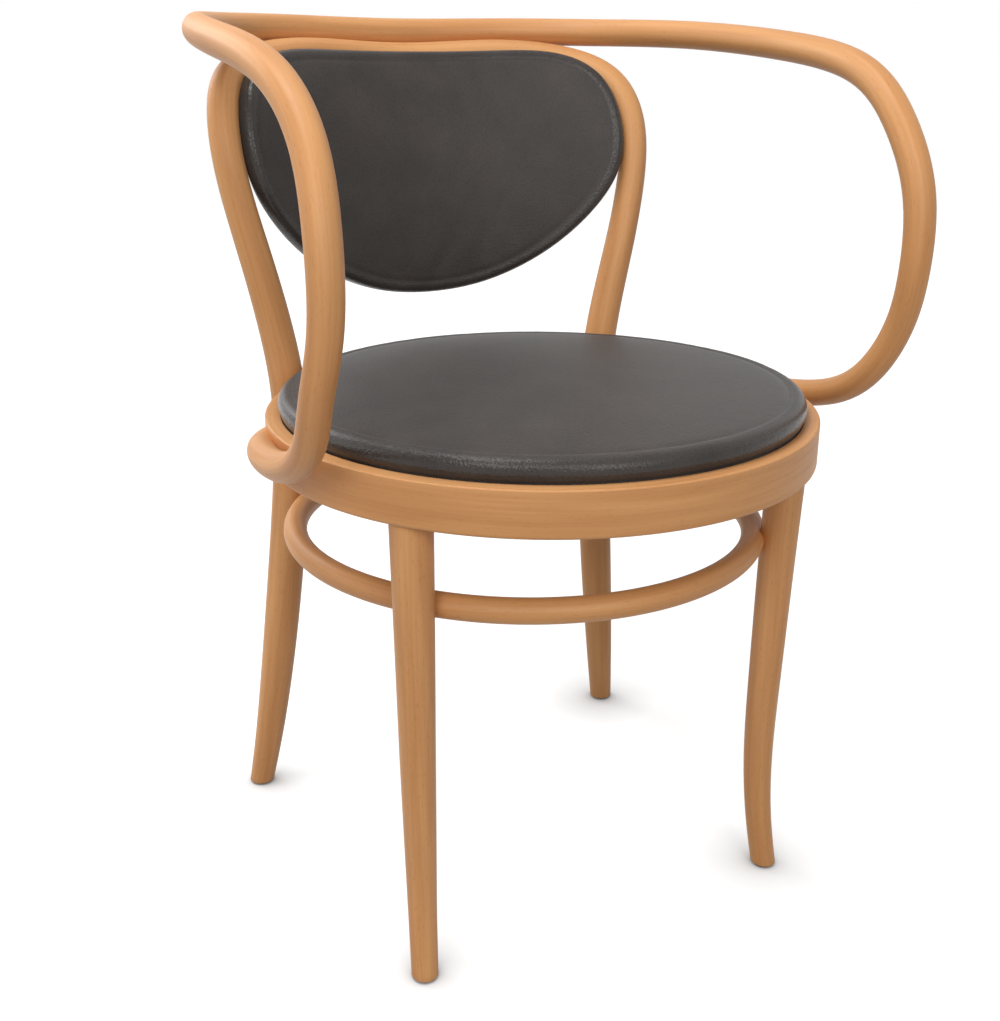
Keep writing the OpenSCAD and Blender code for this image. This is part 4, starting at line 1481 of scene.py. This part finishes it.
@dataclass
class Studio:
    """Plain pale floor, soft light and the camera."""

    floor_r: float = 6.0
    floor_sides: int = 96
    # Pale to the camera; what it throws back on the chair is that of a matt grey floor.
    floor_colour: str = "#929190"
    floor_shade: float = 0.5
    # The lift to white is weaker round the chair, so that its shadow shows. Next to its feet the
    # lift is also dimmed by ambient occlusion, which paints a contact shadow there.
    floor_lift: float = 0.8
    contact: float = 60 * MM
    contact_power: float = 2.0
    shadow_r: float = 0.7
    world_strength: float = 0.18
    eye: tuple[float, float, float] = (-0.5032, -0.9554, 0.7124)
    back: tuple[float, float, float] = (-0.4214, -0.8497, 0.3170)
    right: tuple[float, float, float] = (0.8959, -0.4443, 0.0)
    image_w: float = 1000.0
    image_h: float = 1021.0
    focal_px: float = 1238.84
    centre_px: tuple[float, float] = (486.14, 481.46)
    sensor: float = 36.0
    clip: tuple[float, float] = (0.01, 50.0)
    lamp_aim: tuple[float, float, float] = (0.0, 0.0, 0.5)
    lamps: tuple[Lamp, ...] = (
        Lamp("key", (-2.2, -2.2, 2.2), 1.4, 34.0),
        Lamp("top", (-0.7, 0.0, 2.6), 1.0, 30.0),
        Lamp("front", (-0.2, -2.8, 1.6), 1.4, 25.0),
        Lamp("left", (-2.6, 0.8, 1.0), 1.4, 8.0),
        Lamp("back", (-1.2, 2.4, 1.9), 1.4, 24.0),
    )

    def build_camera(self) -> None:
        """Makes the camera that was fitted to the photograph."""
        data = bpy.data.cameras.new("camera")
        camera = bpy.data.objects.new("camera", data)
        bpy.context.scene.collection.objects.link(camera)
        back = Vector(self.back).normalized()
        right = Vector(self.right).normalized()
        up = back.cross(right)
        turn = Matrix((right, up, back)).transposed().to_4x4()
        camera.matrix_world = Matrix.Translation(self.eye) @ turn
        long_side = max(self.image_w, self.image_h)
        data.sensor_width = self.sensor
        data.lens = self.focal_px * self.sensor / long_side
        data.shift_x = (self.image_w / 2 - self.centre_px[0]) / long_side
        data.shift_y = (self.centre_px[1] - self.image_h / 2) / long_side
        data.clip_start, data.clip_end = self.clip
        bpy.context.scene.camera = camera

    def build_floor(self) -> None:
        """Makes the floor, whose camera view is lifted to white and keeps the chair's shadow."""
        made = bpy.data.materials.new("studio_floor")
        made.use_nodes = True
        made.node_tree.nodes.clear()
        tree = Tree(made.node_tree)
        plain = tree.add("ShaderNodeBsdfDiffuse", {"Color": linear(self.floor_colour)})
        dim = tree.add("ShaderNodeBsdfDiffuse", {"Color": (*[self.floor_shade] * 3, 1.0)})
        where = tree.add("ShaderNodeTexCoord").outputs["Object"]
        reach = tree.add("ShaderNodeVectorMath", {0: where}, operation="LENGTH")
        strength = tree.add(
            "ShaderNodeMapRange",
            {
                "Value": reach.outputs["Value"],
                "From Min": self.shadow_r,
                "From Max": self.floor_r / 2,
                "To Min": self.floor_lift,
                "To Max": 1.0,
            },
        )
        # Painted contact shadow: ambient occlusion dims the lift next to the chair's feet.
        near = tree.add("ShaderNodeAmbientOcclusion", {"Distance": self.contact})
        open_air = tree.add(
            "ShaderNodeMath", {0: near.outputs["AO"], 1: self.contact_power}, operation="POWER"
        )
        lifted = tree.add("ShaderNodeMath", {0: strength, 1: open_air}, operation="MULTIPLY")
        lift = tree.add("ShaderNodeEmission", {"Color": linear(WHITE), "Strength": lifted})
        seen = tree.add("ShaderNodeAddShader", {0: dim, 1: lift})
        mixed = tree.add("ShaderNodeMixShader", {0: seen_directly(tree), 1: plain, 2: seen})
        tree.add("ShaderNodeOutputMaterial", {"Surface": mixed})
        rim = np.linspace(0, 2 * math.pi, self.floor_sides, endpoint=False)
        verts = np.c_[self.floor_r * np.cos(rim), self.floor_r * np.sin(rim), np.zeros_like(rim)]
        mesh = mesh_of("studio_floor", verts, [tuple(range(self.floor_sides))])
        floor = new_piece("studio_floor", mesh)
        floor.data.materials.append(made)

    def build_light(self) -> None:
        """Makes the lamps and the white world."""
        world = bpy.data.worlds.new("studio")
        bpy.context.scene.world = world
        world.use_nodes = True
        world.node_tree.nodes.clear()
        tree = Tree(world.node_tree)
        glow = tree.add(
            "ShaderNodeBackground", {"Color": linear(WHITE), "Strength": self.world_strength}
        )
        white = tree.add("ShaderNodeBackground", {"Color": linear(WHITE), "Strength": 1.0})
        mixed = tree.add("ShaderNodeMixShader", {0: seen_directly(tree), 1: glow, 2: white})
        tree.add("ShaderNodeOutputWorld", {"Surface": mixed})
        for lamp in self.lamps:
            data = bpy.data.lights.new(lamp.name, "AREA")
            data.size = lamp.size
            data.energy = lamp.power
            holder = bpy.data.objects.new(lamp.name, data)
            bpy.context.scene.collection.objects.link(holder)
            way = Vector(self.lamp_aim) - Vector(lamp.place)
            turn = way.to_track_quat("-Z", "Y").to_matrix().to_4x4()
            holder.matrix_world = Matrix.Translation(lamp.place) @ turn

    def build(self) -> None:
        """Makes the whole studio."""
        self.build_camera()
        self.build_floor()
        self.build_light()
        bpy.context.scene.view_settings.view_transform = "Standard"
        LOG.info("studio: %d lamps", len(self.lamps))


def main() -> None:
    """Builds the armchair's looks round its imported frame."""
    logging.basicConfig(level=logging.INFO, format="%(name)s: %(message)s")
    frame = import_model()
    Studio().build()
    finishes = Finishes()
    finishes.build()
    for slot, names in SLOT_NODES.items():
        for name in names:
            finishes.dress_node(frame["nodes"][name], slot)
    sweep = RodSweep()
    sweep.build()
    wood = Bentwood(Seat.read(), sweep, finishes)
    wood.build()
    seat_pad = SeatPad(wood, finishes, Upholstery())
    seat_pad.build()
    finer = Upholstery(voxel=4 * MM, swell=1.2 * MM)
    BackPad(wood, finishes, finer, seat_pad.crown).build()


if __name__ == "__main__":
    main()
